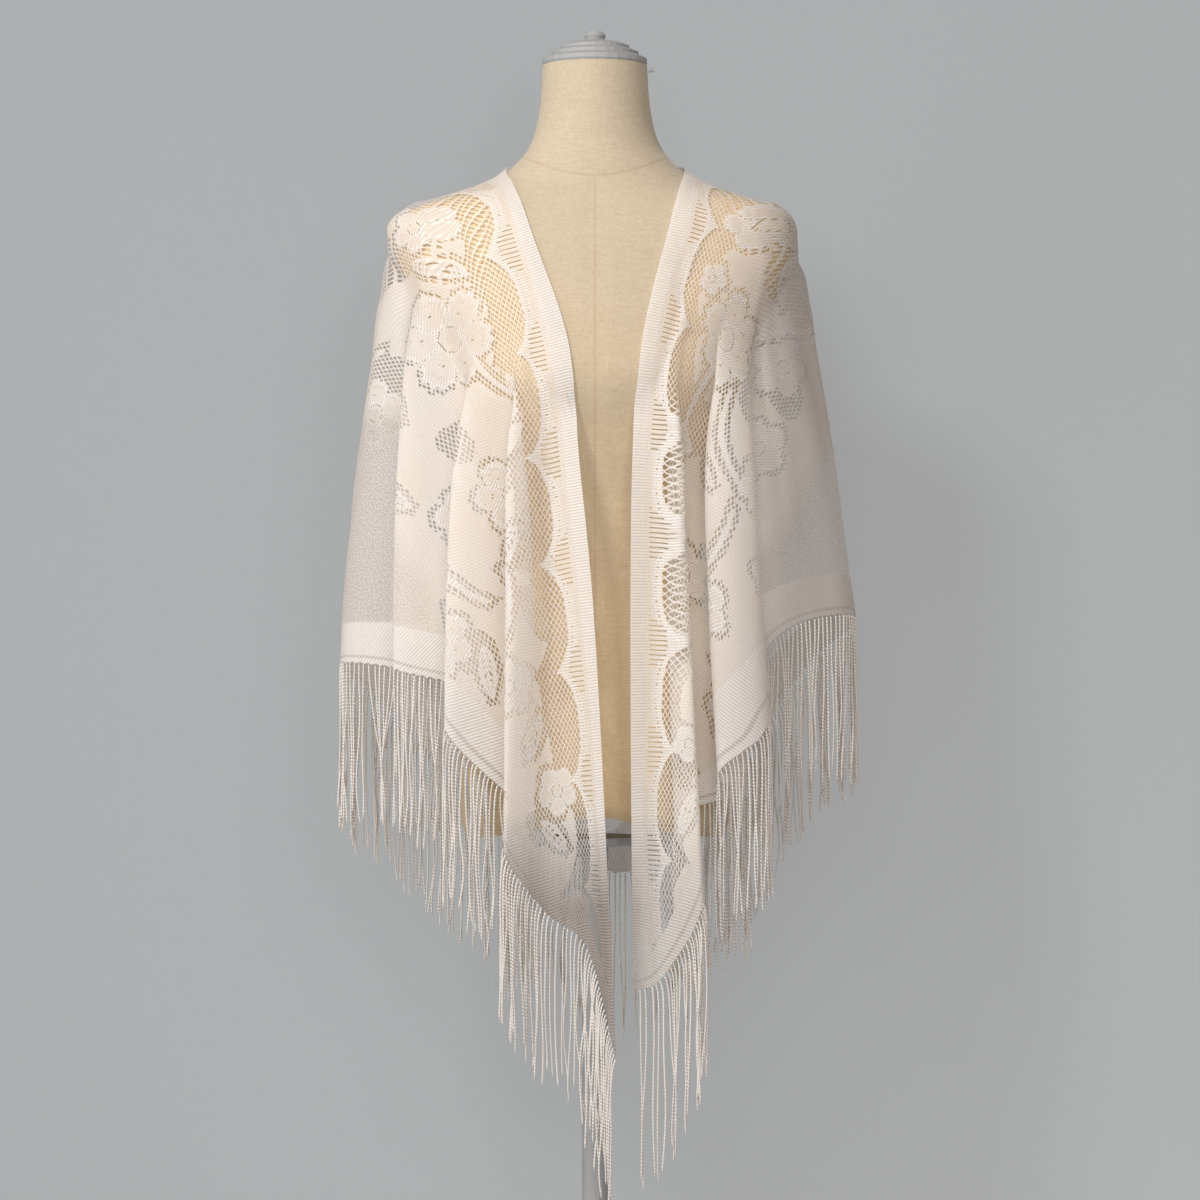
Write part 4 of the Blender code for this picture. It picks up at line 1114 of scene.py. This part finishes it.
# ---------------------------------------------------------------- the fringe
def fringe(hung, flat, rng):
    """Twisted cords under the hem, one object for each stretch."""
    hem = hung[:, -1]
    run = np.concatenate([[0], np.cumsum(np.linalg.norm(np.diff(hem, axis=0), axis=1))])
    pitch = 5.3
    count = int(run[-1] / pitch)
    at = (np.arange(count) + 0.5) * pitch + rng.normal(0, 0.5, count)
    fold = np.interp(at, run, np.arange(len(run)) / FOLD_PARTS)
    start = np.stack([np.interp(at, run, hem[:, k]) for k in range(3)], axis=1)
    above = np.stack([np.interp(at, run, hung[:, -3, k]) for k in range(3)], axis=1)
    tangent = start - above
    tangent /= np.linalg.norm(tangent, axis=1, keepdims=True)
    side = np.gradient(start, axis=0)
    fall = side[:, 2] / (np.linalg.norm(side, axis=1) + 1e-9)  # how steeply the hem runs
    square = (0.8 * fall / np.sqrt(1 - np.clip(fall, -0.98, 0.98) ** 2)).clip(-1, 1)[:, None] * 0.6
    side[:, 2] = 0
    side /= np.linalg.norm(side, axis=1, keepdims=True) + 1e-9
    out = np.stack([side[:, 1], -side[:, 0], np.zeros(count)], axis=1)
    aside = (tangent * side).sum(axis=1, keepdims=True) * side
    leave = 0.65 * aside + square * side + 0.15 * (tangent - aside)
    leave[:, 2] = 0
    steps, sides = 26, 5
    share = np.linspace(0, 1, steps)
    length = rng.normal(152, 9, count) - 26 * np.exp(-((start[:, 2] - 200) / 60) ** 2)
    length = np.clip(length, 105, 162)
    # The right front's own tip has the longest of them.
    length *= 1 + 0.26 * np.exp(-(((start[:, 0] - 48) / 30) ** 2)) * (start[:, 1] < -100) * (start[:, 2] < 340)
    # Neighbours drift together in twos and threes on their way down.
    group = np.cumsum(rng.random(count) < 0.45)
    middle = np.array([at[group == g].mean() for g in group])
    pull = np.clip(rng.normal(0.5, 0.35, group.max() + 1), 0, 0.95)[group]
    slide = (middle - at) * pull
    lines = np.empty((count, steps, 3))
    for k in range(count):
        down = share * length[k]
        ease = 1 - np.exp(-down / 14)
        line = start[k] + np.outer(down * 0, tangent[k])
        line = start[k][None, :] + np.outer(7.5 * (1 - np.exp(-down / 9)), leave[k])
        line[:, 2] -= down * (1 - 0.35 * np.hypot(leave[k, 0], leave[k, 1]) * np.exp(-down / 12))
        sway = slide[k] * np.clip(share * 1.7, 0, 1) ** 1.4
        a, b, c = rng.uniform(0, 2 * math.pi, 3)
        amp = rng.uniform(0.8, 3.8)
        ripple = amp * share * np.sin(a + share * rng.uniform(3, 9))
        depth = rng.uniform(0.4, 2.6) * share * np.sin(b + share * rng.uniform(3, 8))
        line += np.outer(sway + ripple * ease, side[k]) + np.outer(depth * ease, out[k])
        lines[k] = line
    angle = np.arange(sides) * 2 * math.pi / sides
    ring = np.stack([np.cos(angle), np.sin(angle)], axis=1)
    made = []
    for name, first, last in WALLS:
        mine = np.where((fold >= first) & (fold < last))[0]
        points, faces, uvs = [], [], []
        for k in mine:
            radius = rng.uniform(0.75, 1.0) * np.ones(steps)
            radius[-4:] *= (1.0, 0.9, 1.1, 0.5)
            base = len(points) * 1
            body = (
                lines[k][:, None]
                + radius[:, None, None]
                * (ring[None, :, :1] * side[k][None, None] + ring[None, :, 1:] * out[k][None, None])
            )
            points.append(body.reshape(-1, 3))
        total = len(mine)
        pts = np.concatenate(points) * MM
        i, j, n = np.meshgrid(np.arange(total), np.arange(steps - 1), np.arange(sides), indexing="ij")
        a = i * steps * sides + j * sides + n
        b = i * steps * sides + j * sides + (n + 1) % sides
        quads = np.stack([a, a + sides, b + sides, b], axis=-1).reshape(-1, 4)
        wind = np.stack([n / sides, n / sides, (n + 1) / sides, (n + 1) / sides], axis=-1)
        long = np.take_along_axis(
            np.broadcast_to((share[None] * length[mine][:, None])[:, :, None], (total, steps, sides)),
            np.zeros((total, steps, sides), int), axis=2,
        )
        l0 = long[:, :-1, :]
        l1 = long[:, 1:, :]
        v = np.stack([l0, l1, l1, l0], axis=-1) * MM
        uvs = np.stack([wind, v], axis=-1).reshape(-1, 2)
        mesh = bpy.data.meshes.new("fringe_" + name)
        mesh.from_pydata(pts.tolist(), [], quads.tolist())
        layer = mesh.uv_layers.new(name="Twist")
        layer.data.foreach_set("uv", uvs.astype(np.float32).reshape(-1))
        mesh.shade_smooth()
        obj = bpy.data.objects.new("cords_" + name, mesh)
        bpy.context.scene.collection.objects.link(obj)
        made.append(obj)
        print(obj.name, "strands", total, "quads", len(quads))
    return made


# ---------------------------------------------------------------- the stage
def stage():
    scene = bpy.context.scene
    world = scene.world or bpy.data.worlds.new("World")
    scene.world = world
    world.use_nodes = True
    back = world.node_tree.nodes["Background"]
    back.inputs[0].default_value = (1.0, 0.880, 0.780, 1)
    back.inputs[1].default_value = 0.38
    floor = bpy.data.meshes.new("floor")
    floor.from_pydata([(-30, -30, 0), (30, -30, 0), (30, 30, 0), (-30, 30, 0)], [], [(0, 1, 2, 3)])
    ground = bpy.data.objects.new("floor", floor)
    ground.location = (0, 0, -0.0005)
    scene.collection.objects.link(ground)
    made, tree, shader = nodes_of("floor")
    shader.inputs["Base Color"].default_value = (0.43, 0.44, 0.45, 1)
    shader.inputs["Roughness"].default_value = 1.0
    shader.inputs["Specular IOR Level"].default_value = 0.0
    ground.data.materials.append(made)
    wall = bpy.data.meshes.new("wall")
    wall.from_pydata([(-6, 0, 0), (6, 0, 0), (6, 0, 6), (-6, 0, 6)], [], [(0, 1, 2, 3)])
    obj = bpy.data.objects.new("backdrop", wall)
    obj.location = (0, WALL_BACK, 0)
    scene.collection.objects.link(obj)
    made, tree, shader = nodes_of("backdrop")
    shader.inputs["Base Color"].default_value = (0.165, 0.174, 0.182, 1)
    shader.inputs["Roughness"].default_value = 1.0
    shader.inputs["Specular IOR Level"].default_value = 0.0
    shader.inputs["Emission Color"].default_value = (1, 1, 1, 1)
    # The wall shows even all over, though the light on it falls off.
    split = tree.nodes.new("ShaderNodeSeparateXYZ")
    link(tree, tree.nodes.new("ShaderNodeTexCoord").outputs["Object"], split.inputs[0])
    near = maths(tree, "MINIMUM", maths(tree, "MAXIMUM", split.outputs[0], -1.0), 1.0)
    across = maths(tree, "ADD", maths(tree, "MULTIPLY", near, 0.045), 0.275)
    link(
        tree,
        maths(tree, "SUBTRACT", across, maths(tree, "MULTIPLY", split.outputs[2], 0.055)),
        shader.inputs["Emission Strength"],
    )
    # The wall has one side only, so that the form can be seen from behind too.
    side = tree.nodes.new("ShaderNodeNewGeometry")
    clear = tree.nodes.new("ShaderNodeBsdfTransparent")
    either = tree.nodes.new("ShaderNodeMixShader")
    link(tree, side.outputs["Backfacing"], either.inputs[0])
    link(tree, shader.outputs[0], either.inputs[1])
    link(tree, clear.outputs[0], either.inputs[2])
    link(tree, either.outputs[0], tree.nodes["Material Output"].inputs["Surface"])
    made.cycles.emission_sampling = "NONE"
    obj.data.materials.append(made)

    def light(kind, name, energy, place, aim, **more):
        data = bpy.data.lights.new(name, kind)
        data.energy = energy
        for key, value in more.items():
            setattr(data, key, value)
        lamp = bpy.data.objects.new(name, data)
        lamp.location = place
        way = Vector(aim) - Vector(place)
        lamp.rotation_euler = way.to_track_quat("-Z", "Y").to_euler()
        scene.collection.objects.link(lamp)
        return lamp

    white = (1, 0.995, 0.985)
    light("AREA", "key", 46.5, (-1.10, -1.85, 2.35), (0, 0, 1.05), size=0.55, color=white)
    light("AREA", "front", 43.0, (0.25, -3.3, 1.5), (0.03, 0, 0.8), size=1.6, color=white)
    light("AREA", "left", 22.0, (-2.5, -1.3, 1.05), (0, 0, 0.7), size=1.6, color=white)
    data = bpy.data.cameras.new("camera")
    data.sensor_width = 36.0
    data.sensor_fit = "HORIZONTAL"
    data.lens = 36.0 * 3.6 / 1.152
    camera = bpy.data.objects.new("camera", data)
    camera.location = (0.0048, -3.6, 0.640 - 0.00)
    camera.rotation_euler = (math.radians(90), 0, 0)
    data.shift_y = -(0.640 - 0.6331) / 1.152
    scene.collection.objects.link(camera)
    scene.camera = camera
    scene.view_settings.view_transform = "Standard"


def main():
    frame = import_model()
    rng = np.random.default_rng(7)
    hung, flat = cut_grid()
    hung = creased(hung)
    out = normals(hung)
    lace = Lace()
    cloth = lace_mesh(lace, hung, out, flat)
    cords = fringe(hung, flat, rng)
    lace_mat, cord_mat, linen = lace_material(), cord_material(), linen_material()
    metal = plain_material("metal", (0.37, 0.375, 0.38, 1), 0.5, 0.25)
    cap = plain_material("cap", (0.31, 0.315, 0.32, 1), 0.6, 0.0)
    cover = form_cover()
    cover.data.materials.append(linen)
    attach(cover, "root")
    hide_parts("form_torso")
    for (name, _, _), obj in zip(WALLS, cloth):
        obj.data.materials.append(lace_mat)
        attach(obj, "root")
        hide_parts("lace_" + name)
    for (name, _, _), obj in zip(WALLS, cords):
        obj.data.materials.append(cord_mat)
        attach(obj, "root")
        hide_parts("fringe_" + name)
    for name in ("neck_cap", "neck_pin", "pole_flange", "stand_pole", "stand_foot"):
        node = frame["nodes"][name]
        node.data.materials.clear()
        node.data.materials.append(cap if name == "neck_cap" else metal)
    # The five stretches are one cut: lace_mesh stores each one's share of the flat triangle as flat_area.
    stage()


main()
